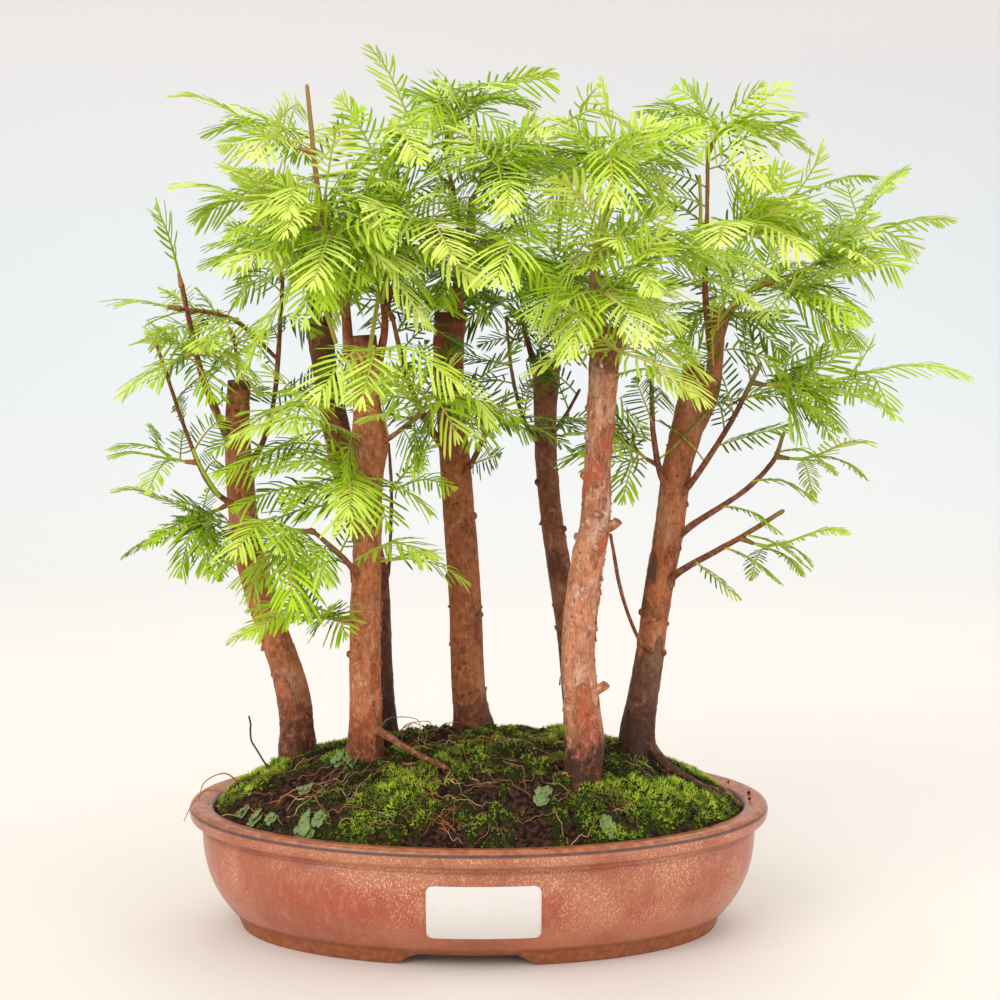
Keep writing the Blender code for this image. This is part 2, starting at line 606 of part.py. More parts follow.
def spur_of(spray):
    """Where a spray's green stem starts: its foot, the spur's tip and the way it points."""
    tree, limb, share, reaches = spray
    stations = limb_path(tree, limb)
    station = along(stations, share)
    foot = station[:3]
    aim = unit(np.mean(np.array(reaches, float), axis=0) - foot)
    if share == 1.0:
        ahead = unit(stations[-1, :3] - stations[-2, :3])
        foot = foot - ahead * 1.5
        way = unit(ahead + 0.8 * aim)
        return foot, foot + way * (SPUR_LENGTH + 1.0), way
    ahead = unit(along(stations, min(share + 0.05, 1.0))[:3] - along(stations, max(share - 0.05, 0.0))[:3])
    way = unit(aim - ahead * np.dot(aim, ahead) * 0.5)
    return foot, foot + way * (station[3] / 2 + SPUR_LENGTH), way


def make_trees():
    """Each tree's wood: trunk, limbs, knobs, surface root and the spurs that the sprays stand on."""
    solids = []
    for tree, wood in TREES.items():
        stations = limb_path(tree, "trunk")
        parts = [tube(stations[:, :3], stations[:, 3], TRUNK_SIDES)]
        for name in wood["limbs"]:
            limb = limb_path(tree, name)
            sides = LIMB_SIDES if limb[0, 3] > THIN_LIMB else THIN_LIMB_SIDES
            parts.append(tube(limb[:, :3], limb[:, 3], sides))
        for height, bearing in wood["knobs"]:
            centre = [np.interp(height, stations[:, 2], stations[:, i]) for i in range(4)]
            turn = math.radians(bearing)
            out = np.array([math.cos(turn), math.sin(turn), KNOB_RISE])
            foot = np.array([centre[0], centre[1], height])
            path = [foot + out * centre[3] / 4, foot + out * (centre[3] / 2 + KNOB_HEIGHT)]
            parts.append(tube(path, KNOB_DIAMETERS, SPUR_SIDES))
        for spray in SPRAYS:
            if spray[0] == tree:
                foot, tip, _ = spur_of(spray)
                parts.append(tube([foot, tip], SPUR_DIAMETERS, SPUR_SIDES))
        join("trunk_" + tree, parts, finish("bark_" + tree, wood["colour"], 0.85))
        solids += parts
    return solids


def axis_of(start, way, reach):
    """A spray's axis: it leaves its spur straight, rises a little and droops to the reach point."""
    span = np.linalg.norm(reach - start)
    line = unit(reach - start)
    t = np.linspace(0, 1, AXIS_POINTS)[:, None]
    first = start + way * span * 0.35
    second = reach - line * span * 0.35 + UP * span * AXIS_RISE
    return (1 - t)**3 * start + 3 * (1 - t)**2 * t * first + 3 * (1 - t) * t**2 * second + t**3 * reach


def runs(path):
    """The distance run along a path at each of its points."""
    return np.concatenate([[0.0], np.cumsum(np.linalg.norm(np.diff(path, axis=0), axis=1))])


def at_runs(path, values, marks):
    """What values hold at given distances along a path."""
    run = runs(path)
    return np.column_stack([np.interp(marks, run, values[:, i]) for i in range(3)])


def arched(foot, ahead, length):
    """A side frond's axis: it sets out along ahead and bends down under its own weight."""
    t = np.linspace(0, 1, AXIS_POINTS)[:, None]
    middle = foot + ahead * length * 0.5
    end = foot + unit(ahead - UP * FROND_DROOP) * length * 0.97
    return (1 - t)**2 * foot + 2 * (1 - t) * t * middle + t**2 * end


def rib_marks(path, bare):
    """How far along its axis a shoot's stations lie: on the bare stem, then one a leaf pair."""
    total = runs(path)[-1]
    pairs = max(3, round((total - bare) / LEAF_PAIR_STEP))
    steps = max(1, round(bare / STEM_STEP))
    stem = np.linspace(0, bare, steps, endpoint=False)
    return steps, np.concatenate([stem, np.linspace(bare, total - 2.0, pairs + 1)])


def frond(path, bare, width, roll):
    """A stem or stalk that runs on as the rib of one arched blade cut to that rib. The bar is
    three-sided and flat on top, and past its bare length each stretch between two stations carries
    a pointed leaflet on either side. The leaflets are longest a third of the way out, lean forward
    more towards the tip, and their points droop."""
    bare_steps, marks = rib_marks(path, bare)
    total, pairs = runs(path)[-1], len(marks) - 1 - bare_steps
    rib = at_runs(path, path, marks)
    ahead = at_runs(path, tangents(path), marks)
    points, normal = [], UP
    for place, forward, mark in zip(rib, ahead, marks):
        forward = unit(forward)
        normal = across(forward, normal)
        side = np.cross(normal, forward)
        face = normal * math.cos(roll) + side * math.sin(roll)
        wide = width + (RIB_TIP_WIDTH - width) * mark / total
        side = np.cross(face, forward) * wide / 2
        top = place + face * wide * RIB_DEPTH_SHARE / 3
        points += [top + side, top - side, place - face * wide * RIB_DEPTH_SHARE * 2 / 3]
    faces = [(0, 2, 1)]
    for i in range(bare_steps + pairs):
        left, right, under = 3 * i, 3 * i + 1, 3 * i + 2
        faces.append((left, right, right + 3, left + 3))
        sides = ((left, left + 3, under + 3, under), (right, under, under + 3, right + 3))
        if i < bare_steps:
            faces += sides
            continue
        t = (i - bare_steps + 0.5) / pairs
        length = LEAF_LENGTH * (0.62 + 1.5 * t - 1.9 * t**2 + 0.2 * t**3)
        lean = math.radians(LEAN_AT_FOOT + (LEAN_AT_TIP - LEAN_AT_FOOT) * t)
        forward = unit(rib[i + 1] - rib[i])
        outward = unit(points[left] - points[right])
        droop = unit(2 * points[under] - points[left] - points[right])
        for ring, sign in zip(sides, (1, -1)):
            foot = sum(points[corner] for corner in ring) / 4
            way = math.cos(lean) * forward + math.sin(lean) * sign * outward + LEAF_DROOP * droop
            points.append(foot + unit(way) * length)
            apex = len(points) - 1
            faces += [(a, b, apex) for a, b in zip(ring, ring[1:] + ring[:1])]
    last = 3 * (bare_steps + pairs)
    points.append(rib[-1] + unit(ahead[-1]) * LEAF_LENGTH * 0.45)
    apex = len(points) - 1
    faces += [(last, last + 1, apex), (last + 1, last + 2, apex), (last + 2, last, apex)]
    return np.array(points), faces


def turned(v, about, degrees):
    """A vector turned about a unit axis."""
    angle = math.radians(degrees)
    return (
        v * math.cos(angle)
        + np.cross(about, v) * math.sin(angle)
        + about * np.dot(about, v) * (1 - math.cos(angle))
    )


class Room:
    """The space already taken: the search tree and the box of each solid placed so far."""

    def __init__(self):
        self.taken = []

    def add(self, solid):
        points, faces = solid
        tree = BVHTree.FromPolygons(points.tolist(), faces)
        self.taken.append((tree, points.min(axis=0), points.max(axis=0)))
        return len(self.taken) - 1

    def free(self, solid, carriers=()):
        """Whether a shoot crosses nothing that was placed before. Its first stretch, up to its
        second station, may cross what carries it."""
        points, faces = solid
        corners = points.tolist()
        whole = BVHTree.FromPolygons(corners, faces)
        beyond = BVHTree.FromPolygons(corners, faces[FIRST_STRETCH_FACES:])
        low, high = points.min(axis=0), points.max(axis=0)
        for number, (other, other_low, other_high) in enumerate(self.taken):
            apart = (low > other_high).any() or (high < other_low).any()
            if not apart and (beyond if number in carriers else whole).overlap(other):
                return False
        return True


def leader(start, way, reach, turn):
    """A leading shoot's axis and bare length: from the spur to a reach point turned about it."""
    yaw, lift, scale = turn
    line = turned(reach - start, UP, yaw)
    line = turned(line, unit(np.cross(line, UP)), lift) * scale
    axis = axis_of(start, way, start + line)
    total = runs(axis)[-1]
    return axis, max(total - FROND_LENGTH, BARE_SHARE * total)


def lateral(axis, bare, place, sign, open_angle, turn):
    """Where a side frond starts on a leading shoot's rib, to one side, and the way it sets out."""
    swing, lift, _ = turn
    _, marks = rib_marks(axis, bare)
    rib = at_runs(axis, axis, marks)
    foot = np.array([np.interp(place, marks, rib[:, i]) for i in range(3)])
    following = np.searchsorted(marks, place)
    ahead = unit(rib[following] - rib[following - 1])
    out = turned(ahead, across(ahead), sign * (open_angle + swing))
    return foot, unit(out + UP * math.sin(math.radians(lift + SIDE_LIFT)))


def make_sprays(woods):
    """The leafy sprays, in the order of the list. Each shoot keeps clear of the wood and of the
    shoots before it: it is turned, lifted or shortened a little until it does, or else left out."""
    draw = random.Random(SEED)
    room = Room()
    for solid in woods:
        room.add(solid)
    greens = {name: finish(f"leaves_{name}", colour, 0.55) for name, colour in GREENS.items()}
    counts = dict.fromkeys(TREES, 0)
    for spray in SPRAYS:
        tree, _, _, reaches = spray
        counts[tree] += 1
        _, tip, way = spur_of(spray)
        start = tip + way * SPUR_GAP
        solids, leaders = [], []
        for reach in reaches:
            roll = math.radians(draw.uniform(-MOST_ROLL, MOST_ROLL))
            sunk = FORK_SINK * len(leaders)
            for turn in LEADER_TRIES:
                axis, bare = leader(start + way * sunk, way, np.array(reach, float), turn)
                shoot = frond(axis, bare, STEM_DIAMETER - sunk, roll)
                if room.free(shoot, leaders):
                    break
            else:
                continue
            leaders.append(room.add(shoot))
            solids.append(shoot)
            for place in SIDE_PLACES[:int(bare > FIRST_ROW) + int(bare > SECOND_ROW)] * bare:
                for sign in (1, -1):
                    length = FROND_LENGTH * draw.uniform(*SIDE_SHARES)
                    open_angle = draw.uniform(*SIDE_ANGLES)
                    roll = math.radians(draw.uniform(-MOST_ROLL, MOST_ROLL))
                    for turn in LATERAL_TRIES:
                        foot, out = lateral(axis, bare, place, sign, open_angle, turn)
                        side = frond(arched(foot, out, length * turn[2]), STALK, RIB_WIDTH, roll)
                        if room.free(side, leaders[-1:]):
                            room.add(side)
                            solids.append(side)
                            break
        _, y, z = reaches[0]
        light = "front" if y < FRONT_LEAVES_Y else "top" if z > TOP_LEAVES_Z else "inner"
        join(f"spray_{tree}_{counts[tree]:02d}", solids, greens[light])


clear_scene()
make_tray()
make_soil()
make_wire()
make_screens()
make_label()
make_sprays(make_trees())
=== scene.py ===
"""A dawn redwood forest, planted on a mossy mound of soil in a glazed oval tray."""

import math
import random

import bpy
import numpy as np
from mathutils import Matrix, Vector
from mathutils.bvhtree import BVHTree


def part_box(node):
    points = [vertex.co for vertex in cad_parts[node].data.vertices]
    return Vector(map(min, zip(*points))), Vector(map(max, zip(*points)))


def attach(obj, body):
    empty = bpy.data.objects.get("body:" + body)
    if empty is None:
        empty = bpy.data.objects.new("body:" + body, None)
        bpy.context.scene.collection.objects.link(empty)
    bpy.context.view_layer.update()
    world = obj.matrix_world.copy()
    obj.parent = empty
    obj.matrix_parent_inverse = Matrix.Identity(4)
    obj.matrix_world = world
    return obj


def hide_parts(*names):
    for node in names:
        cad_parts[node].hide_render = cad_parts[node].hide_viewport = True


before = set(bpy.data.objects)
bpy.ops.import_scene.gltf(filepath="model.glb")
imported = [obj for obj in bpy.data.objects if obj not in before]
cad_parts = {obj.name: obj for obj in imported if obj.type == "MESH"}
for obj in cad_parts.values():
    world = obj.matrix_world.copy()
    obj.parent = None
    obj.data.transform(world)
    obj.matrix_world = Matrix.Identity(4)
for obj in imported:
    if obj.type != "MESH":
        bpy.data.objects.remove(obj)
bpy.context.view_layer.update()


# The camera looks slightly down on the planting from just under a metre away, through a 72 mm
# lens. Lengths here are millimetres about the middle of the tray's underside, with x to the
# right, y away from the viewer and z up, and MIDDLE is that point in the part's own frame.
MM = 0.001
tray_low, tray_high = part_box("tray")
MIDDLE = np.array([(tray_low[0] + tray_high[0]) / 2, (tray_low[1] + tray_high[1]) / 2, 0.0])
camera = bpy.data.cameras.new("camera")
camera.lens = 72.0
camera.sensor_width = 36.0
camera_stand = bpy.data.objects.new("camera", camera)
camera_stand.location = MIDDLE + np.array([10.0, -918.0, 321.6]) * MM
camera_stand.rotation_euler = (math.radians(90.0 - 7.44), 0.0, 0.0)
bpy.context.scene.collection.objects.link(camera_stand)
bpy.context.scene.camera = camera_stand


# The tray is one piece of stoneware, pressed to an oval, with a lip, two curved feet and two
# drainage holes. A red-brown glaze with fine cream flecks covers the wall, and pools thin and
# brown over the lip and the feet.
TRAY_LENGTH = 272.0
TRAY_DEPTH = 170.0
TRAY_FLOOR = 13.0
FOOT_HEIGHT = 7.0
FOOT_GAP = {"middle": -5.0, "flat": 22.0, "end": 32.0, "height": 5.0}
DRAIN_PLACES = ((-52.0, 0.0), (52.0, 0.0))
DRAIN_RADIUS = 8.0
# How far inside the lip's outline each level lies, from the middle of the underside out over
# the foot, the wall and the lip, and down to the middle of the floor: (inset, height).
TRAY_PROFILE = (
    (80.0, 7.0), (60.0, 7.0), (40.0, 7.0), (32.0, 7.0), (30.3, 6.3), (30.0, 4.0), (30.0, 1.0),
    (29.4, 0.1), (28.0, 0.0), (25.5, 0.0), (24.1, 0.1), (23.5, 1.0), (22.4, 4.0), (21.6, 6.4),
    (20.9, 7.4), (19.6, 8.3), (17.3, 11.0), (14.2, 15.5), (11.6, 20.0), (9.2, 25.5), (7.6, 31.0),
    (6.5, 37.0), (6.0, 42.0), (5.9, 46.0), (6.3, 47.8), (7.1, 48.9), (6.6, 50.0), (4.2, 51.3),
    (1.6, 52.2), (0.5, 53.5), (0.0, 55.6), (0.1, 57.6), (1.0, 59.3), (2.8, 60.0), (6.0, 59.6),
    (9.4, 58.9), (11.2, 57.8), (11.9, 55.5), (12.5, 46.0), (14.0, 30.0), (17.2, 18.0),
    (21.0, 13.8), (26.0, 13.0), (40.0, 13.0), (60.0, 13.0), (80.0, 13.0),
)


def curve_through(points, count):
    """Evenly spread parameters on the Catmull-Rom curve through the points: each stretch is the
    cubic that passes its two ends with the slope between their neighbours."""
    p = np.asarray(points, float)
    ends = np.vstack([2 * p[0] - p[1], p, 2 * p[-1] - p[-2]])
    t = np.linspace(0, len(p) - 1, count)
    i = np.minimum(t.astype(int), len(p) - 2)
    u = (t - i)[:, None]
    a, b, c, d = ends[i], ends[i + 1], ends[i + 2], ends[i + 3]
    square, cube = 2 * a - 5 * b + 4 * c - d, 3 * b - a - 3 * c + d
    return 0.5 * (2 * b + (c - a) * u + square * u**2 + cube * u**3)


def ease(x, low, high):
    """0 below low, 1 above high, and 3t^2 - 2t^3 between them."""
    t = np.clip((x - low) / (high - low), 0.0, 1.0)
    return t * t * (3 - 2 * t)


def ringed(rows, sides):
    """The quads of a grid whose rows close on themselves round a form."""
    i, j = np.meshgrid(np.arange(rows - 1), np.arange(sides), indexing="ij")
    row, k = i * sides, (j + 1) % sides
    return np.stack([row + j, row + k, row + sides + k, row + sides + j], -1).reshape(-1, 4)


def capped(rows, sides):
    """The same quads, and one face over each end."""
    last = (rows - 1) * sides
    return [ringed(rows, sides), np.arange(sides)[::-1][None], np.arange(last, last + sides)[None]]


def shown(name, points, faces, material, nodes=(), slot="", marks=None):
    """A smooth surface from points in millimetres and groups of faces by corner number. It rides
    on the planting's one body and stands for the solids named. Marks are values at its points."""
    mesh = bpy.data.meshes.new(name)
    groups = [np.asarray(group) for group in faces if len(group)]
    counts = np.concatenate([np.full(len(group), group.shape[1]) for group in groups])
    corners = np.concatenate([group.ravel() for group in groups])
    mesh.vertices.add(len(points))
    mesh.vertices.foreach_set("co", (points * MM + MIDDLE).ravel())
    mesh.loops.add(len(corners))
    mesh.polygons.add(len(counts))
    mesh.polygons.foreach_set("loop_start", np.concatenate([[0], np.cumsum(counts)[:-1]]))
    mesh.polygons.foreach_set("vertices", corners)
    mesh.update(calc_edges=True)
    mesh.shade_smooth()
    for label, values in (marks or {}).items():
        mesh.attributes.new(label, "FLOAT", "POINT").data.foreach_set("value", np.asarray(values, float))
    mesh.materials.append(material)
    piece = bpy.data.objects.new(name, mesh)
    bpy.context.scene.collection.objects.link(piece)
    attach(piece, "root")
    if nodes:
        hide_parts(*nodes)
    return piece


class Finish:
    """A material's or a shared effect's nodes, added and linked by short calls."""

    def __init__(self, tree):
        self.nodes, self.links = tree.nodes, tree.links
        self.place = self.nodes.new("ShaderNodeTexCoord").outputs["Object"]

    def set(self, socket, value):
        """Links a socket, or sets it to a number or a colour."""
        if isinstance(value, bpy.types.NodeSocket):
            self.links.new(value, socket)
        elif isinstance(value, tuple) and len(value) == 3 and socket.type == "RGBA":
            socket.default_value = (*value, 1.0)
        else:
            socket.default_value = value

    def stretched(self, scale, stretch):
        """The place on the object, in cells."""
        mapping = self.nodes.new("ShaderNodeMapping")
        self.links.new(self.place, mapping.inputs["Vector"])
        mapping.inputs["Scale"].default_value = [scale / s for s in stretch]
        return mapping.outputs["Vector"]

    def noise(self, scale, detail=3.0, stretch=(1.0, 1.0, 1.0), roughness=0.55):
        """Noise of so many cells a metre, each cell stretched along the axes."""
        texture = self.nodes.new("ShaderNodeTexNoise")
        texture.inputs["Scale"].default_value = 1.0
        texture.inputs["Detail"].default_value = detail
        texture.inputs["Roughness"].default_value = roughness
        self.links.new(self.stretched(scale, stretch), texture.inputs["Vector"])
        return texture.outputs["Fac"]

    def cells(self, scale):
        """Distance to the nearest middle of random cells, so many a metre."""
        texture = self.nodes.new("ShaderNodeTexVoronoi")
        texture.inputs["Scale"].default_value = 1.0
        self.links.new(self.stretched(scale, (1.0, 1.0, 1.0)), texture.inputs["Vector"])
        return texture.outputs["Distance"]

    def mark(self, label):
        """A value kept at the surface's points."""
        node = self.nodes.new("ShaderNodeAttribute")
        node.attribute_name = label
        return node.outputs["Fac"]

    def height(self):
        """Height above the table in metres."""
        node = self.nodes.new("ShaderNodeSeparateXYZ")
        self.links.new(self.place, node.inputs["Vector"])
        return node.outputs["Z"]

    def span(self, value, low, high, start=0.0, end=1.0):
        """A value's range eased to another, and held at its ends."""
        node = self.nodes.new("ShaderNodeMapRange")
        node.interpolation_type = "SMOOTHSTEP"
        self.set(node.inputs["Value"], value)
        self.set(node.inputs["From Min"], low)
        self.set(node.inputs["From Max"], high)
        self.set(node.inputs["To Min"], start)
        self.set(node.inputs["To Max"], end)
        return node.outputs["Result"]

    def math(self, operation, first, second):
        """The sum, difference or product of two values."""
        node = self.nodes.new("ShaderNodeMath")
        node.operation = operation
        self.set(node.inputs[0], first)
        self.set(node.inputs[1], second)
        return node.outputs["Value"]

    def both(self, first, second):
        """Two values multiplied."""
        return self.math("MULTIPLY", first, second)

    def mix(self, amount, first, second):
        """Two colours mixed by an amount."""
        node = self.nodes.new("ShaderNodeMix")
        node.data_type = "RGBA"
        sockets = {socket.identifier: socket for socket in node.inputs}
        self.set(sockets["Factor_Float"], amount)
        self.set(sockets["A_Color"], first)
        self.set(sockets["B_Color"], second)
        return next(socket for socket in node.outputs if socket.identifier == "Result_Color")

    def relief(self, height, depth, strength=1.0):
        """The normal of a height field of the given depth in metres."""
        node = self.nodes.new("ShaderNodeBump")
        node.inputs["Strength"].default_value = strength
        node.inputs["Distance"].default_value = depth
        self.set(node.inputs["Height"], height)
        return node.outputs["Normal"]


def begun(name):
    """A new material's nodes."""
    material = bpy.data.materials.new(name)
    material.use_nodes = True
    finish = Finish(material.node_tree)
    finish.material = material
    return finish


def finished(finish, colour, roughness, normal=None, **plain):
    """The material, once it has its colour, roughness and normal, and its plain numbers."""
    shader = finish.material.node_tree.nodes["Principled BSDF"]
    finish.set(shader.inputs["Base Color"], colour)
    finish.set(shader.inputs["Roughness"], roughness)
    if normal is not None:
        finish.set(shader.inputs["Normal"], normal)
    for label, value in plain.items():
        shader.inputs[label.replace("_", " ")].default_value = value
    return finish.material


def glazed_tray():
    """Each level of the profile is an ellipse, and the foot's lower edge rises to a flat gap in
    the middle of the front and back: its lift fades with height up to the foot's top."""
    profile = curve_through(TRAY_PROFILE, 2 * len(TRAY_PROFILE) - 1)
    sides = 160
    turn = np.linspace(0, 2 * math.pi, sides, endpoint=False)
    inset, level = profile[:, :1], np.clip(profile[:, 1:], 0.0, 60.0)
    x = (TRAY_LENGTH / 2 - inset) * np.cos(turn)
    y = (TRAY_DEPTH / 2 - inset) * np.sin(turn)
    off = np.abs(x - FOOT_GAP["middle"])
    lift = FOOT_GAP["height"] * (1 - ease(off, FOOT_GAP["flat"], FOOT_GAP["end"]))
    foot = (inset < 31.0) & (level < FOOT_HEIGHT) & (inset > 20.5)
    z = level + np.where(foot, lift * (1 - level / FOOT_HEIGHT), 0.0)
    return np.stack([x, y, z], -1).reshape(-1, 3), capped(len(profile), sides)


def bored(piece, places, radius):
    """Cuts upright round holes through the floor."""
    turn = np.linspace(0, 2 * math.pi, 40, endpoint=False)
    for x, y in places:
        ring = np.stack([x + radius * np.cos(turn), y + radius * np.sin(turn), np.zeros(40)], -1)
        points = np.vstack([ring + (0, 0, 1.0), ring + (0, 0, 20.0)])
        mesh = bpy.data.meshes.new("drill")
        rows = [face for group in capped(2, 40) for face in group.tolist()]
        mesh.from_pydata((points * MM + MIDDLE).tolist(), [], rows)
        drill = bpy.data.objects.new("drill", mesh)
        bpy.context.scene.collection.objects.link(drill)
        cut = piece.modifiers.new("cut", "BOOLEAN")
        cut.operation = "DIFFERENCE"
        cut.object = drill
        graph = bpy.context.evaluated_depsgraph_get()
        piece.data = bpy.data.meshes.new_from_object(piece.evaluated_get(graph))
        piece.modifiers.clear()
        bpy.data.objects.remove(drill, do_unlink=True)


glaze = begun("glaze")
mix, span, both, noise = glaze.mix, glaze.span, glaze.both, glaze.noise
level = glaze.height()
cloud = noise(28.0, 4.0)
streak = noise(330.0, 3.0, (1.0, 1.0, 3.0))
fleck = noise(1500.0, 2.0, (1.0, 1.0, 1.7), 0.6)
mist = noise(3200.0, 1.0)
body = mix(span(cloud, 0.35, 0.68), (0.375, 0.098, 0.046), (0.495, 0.160, 0.077))
red = both(span(level, 0.016, 0.026), span(level, 0.050, 0.034))
red = both(red, span(noise(45.0, 3.0), 0.42, 0.62))
body = mix(both(red, 0.75), body, (0.40, 0.062, 0.031))
body = mix(span(streak, 0.48, 0.75, 0.0, 0.40), body, (0.53, 0.23, 0.14))
flecked = glaze.math("ADD", span(fleck, 0.53, 0.62, 0.0, 0.7), span(mist, 0.55, 0.70, 0.0, 0.35))
flecked = both(flecked, span(cloud, 0.36, 0.60, 0.2, 1.0))
flecked = both(flecked, both(span(level, 0.012, 0.026), span(level, 0.0576, 0.0562)))
flecked = both(flecked, span(level, 0.030, 0.046, 0.75, 1.0))
body = mix(flecked, body, (0.78, 0.50, 0.32))
lip = mix(span(noise(260.0, 4.0), 0.4, 0.65), (0.29, 0.079, 0.030), (0.46, 0.144, 0.059))
body = mix(span(level, 0.0572, 0.0586), body, lip)
edge = both(span(level, 0.0568, 0.0576), span(level, 0.0589, 0.0582))
edge = both(edge, span(noise(150.0, 3.0), 0.30, 0.55, 0.75, 0.95))
body = mix(edge, body, (0.07, 0.035, 0.030))
foot = span(level, 0.0112, 0.0078)
bare = span(noise(300.0, 4.0), 0.35, 0.7)
foot_colour = mix(bare, (0.25, 0.067, 0.020), (0.39, 0.116, 0.038))
body = mix(foot, body, foot_colour)
surface = glaze.relief(glaze.math("ADD", both(streak, 0.5), fleck), 0.00016, 0.5)
glazed = finished(glaze, body, span(foot, 0.0, 1.0, 0.30, 0.6), surface)
tray = shown("tray_glazed", *glazed_tray(), glazed, ["tray"], "tray")
bored(tray, DRAIN_PLACES, DRAIN_RADIUS)


# The screens are squares of plastic mesh, laid over the drainage holes before the soil goes in.
# Each is moulded in one piece, so here its bars cross and sink into each other.
SCREEN_SIDE = 24.0
SCREEN_LEVEL = TRAY_FLOOR + 0.8
SCREEN_PITCH = 2.4
SCREEN_BAR = (0.45, 0.36)


def lattice(x, y):
    """Flat bars, eight corners each, side by side along x and then along y."""
    step = np.arange(0.6 - SCREEN_SIDE / 2, SCREEN_SIDE / 2, SCREEN_PITCH)
    wide, thick = SCREEN_BAR
    corner = np.array([(a, b, c) for c in (-1, 1) for a, b in ((-1, -1), (1, -1), (1, 1), (-1, 1))], float)
    lying = corner * (SCREEN_SIDE / 2, wide, thick)
    standing = corner * (wide, SCREEN_SIDE / 2, thick)
    bars = [lying + (x, y + s, SCREEN_LEVEL) for s in step]
    bars += [standing + (x + s, y, SCREEN_LEVEL) for s in step]
    box = np.array([(0, 3, 2, 1), (4, 5, 6, 7), (0, 1, 5, 4), (1, 2, 6, 5), (2, 3, 7, 6), (3, 0, 4, 7)])
    return np.vstack(bars), (box[None] + 8 * np.arange(len(bars))[:, None, None]).reshape(-1, 4)


plastic = begun("mesh_plastic")
black = plastic.mix(plastic.noise(400.0), (0.02, 0.02, 0.02), (0.05, 0.05, 0.048))
rough = plastic.span(plastic.noise(700.0), 0.3, 0.7, 0.45, 0.65)
mesh_plastic = finished(plastic, black, rough, plastic.relief(plastic.noise(900.0), 0.0001, 0.4))
for number, (x, y) in enumerate(DRAIN_PLACES, 1):
    points, faces = lattice(x, y)
    nodes = [f"drain_screen_{number}"]
    screen = shown(f"mesh_screen_{number}", points, [faces], mesh_plastic, nodes, "drain_screen")
    screen.data.shade_flat()


# The soil is a dark, crumbly mix, heaped over the lip's height into a mound. Moss has grown over
# most of it in bumpy cushions, and thinly or not at all where it was disturbed.
SOIL_LEVEL = 56.5
MOUND_RISE = 32.5
SOIL_REACH = (123.6, 72.6)
# Patches of moss and of bare soil: x, y, half length, half depth, how much more moss, how vivid.
PATCHES = np.array((
    (-106, 6, 17, 20, 0.9, 1.0), (-68, 26, 12, 10, 0.8, 0.8), (-66, -10, 9, 7, 0.8, 0.9),
    (-38, -47, 25, 12, 0.8, 0.75), (-54, -62, 7, 6, 0.7, 0.9), (68, -38, 28, 13, 0.8, 0.9),
    (102, -22, 17, 12, 1.0, 0.8), (104, 17, 12, 10, 0.9, 0.9), (40, 21, 8, 8, 0.8, 0.9),
    (63, 13, 7, 9, 0.8, 0.8), (-12, -30, 18, 12, 0.4, 0.35), (20, -2, 22, 14, 0.5, 0.3),
    (-93, -25, 27, 11, -1.7, 0.0), (47, -33, 12, 7, -1.0, 0.0), (89, 3, 11, 8, -1.2, 0.0),
    (120, 14, 8, 10, -1.3, 0.0), (-66, 6, 13, 7, -0.8, 0.0), (-8, 2, 14, 9, -0.6, 0.0),
    (26, -48, 9, 6, -0.8, 0.0), (-22, -12, 12, 8, -0.4, 0.0), (88, -12, 9, 5, -0.7, 0.0),
    (-30, -28, 9, 6, -0.8, 0.0), (-58, -43, 8, 5, -0.6, 0.0), (2, -44, 7, 5, -0.7, 0.0),
    (64, -60, 9, 4, 0.6, 0.8), (-30, 55, 24, 12, 0.7, 0.8), (50, 58, 22, 9, 0.6, 0.7),
    (-84, 44, 16, 10, 0.5, 0.7), (6, 46, 14, 9, -0.8, 0.0), (86, 38, 12, 9, -0.5, 0.0),
))


def grain(points, size, seed):
    """Soft random values in 0 to 1 over space. Space is cut into cells of the given size, each
    cell corner holds a random number, and a point takes its cell's eight corners blended by the
    eased distances to them."""
    p = points / np.asarray(size, float) + seed * 17.31
    cell = np.floor(p).astype(np.int64)
    t = p - cell
    t = t * t * (3 - 2 * t)
    total = np.zeros(p.shape[:-1])
    for corner in np.ndindex(2, 2, 2):
        c = (cell + corner) & 0xFFFF
        h = (c[..., 0] * 73856093) ^ (c[..., 1] * 19349663) ^ (c[..., 2] * 83492791)
        h = ((h ^ (h >> 13)) * 1274126177) & 0x7FFFFFFF
        value = ((h ^ (h >> 15)) & 0xFFFF) / 65535.0
        total += value * np.prod(np.where(np.array(corner) == 1, t, 1 - t), axis=-1)
    return total


def flat_grain(x, y, size, seed):
    """The same over the plan of the soil."""
    return grain(np.stack(np.broadcast_arrays(x, y, 0.5), -1), (size, size, size), seed)


def mossy(x, y):
    """How thick the moss is, 0 to 1, and how vivid: soft noise plus the patches, each of which
    fades from its middle as exp(-(distance)^3)."""
    x, y = np.asarray(x, float), np.asarray(y, float)
    px, py, rx, ry, more, vivid = PATCHES.T
    near = np.exp(-(np.hypot((x[..., None] - px) / rx, (y[..., None] - py) / ry) ** 3))
    noise = 0.34 * flat_grain(x, y, 14, 1) + 0.32 * flat_grain(x, y, 6, 2) + 0.34 * flat_grain(x, y, 3.4, 9)
    thick = ease(noise + 0.34 * (near * more).sum(-1), 0.43, 0.55)
    bright = np.clip((near * vivid).sum(-1) + 0.7 * (flat_grain(x, y, 12, 3) - 0.35), 0, 1)
    return thick, bright


# Where the trunks stand in the soil.
FEET = np.array(((-88, 23), (-52, -15), (-48, 40), (-3, 18), (49, 48), (47, -35), (74.5, 3)), float)


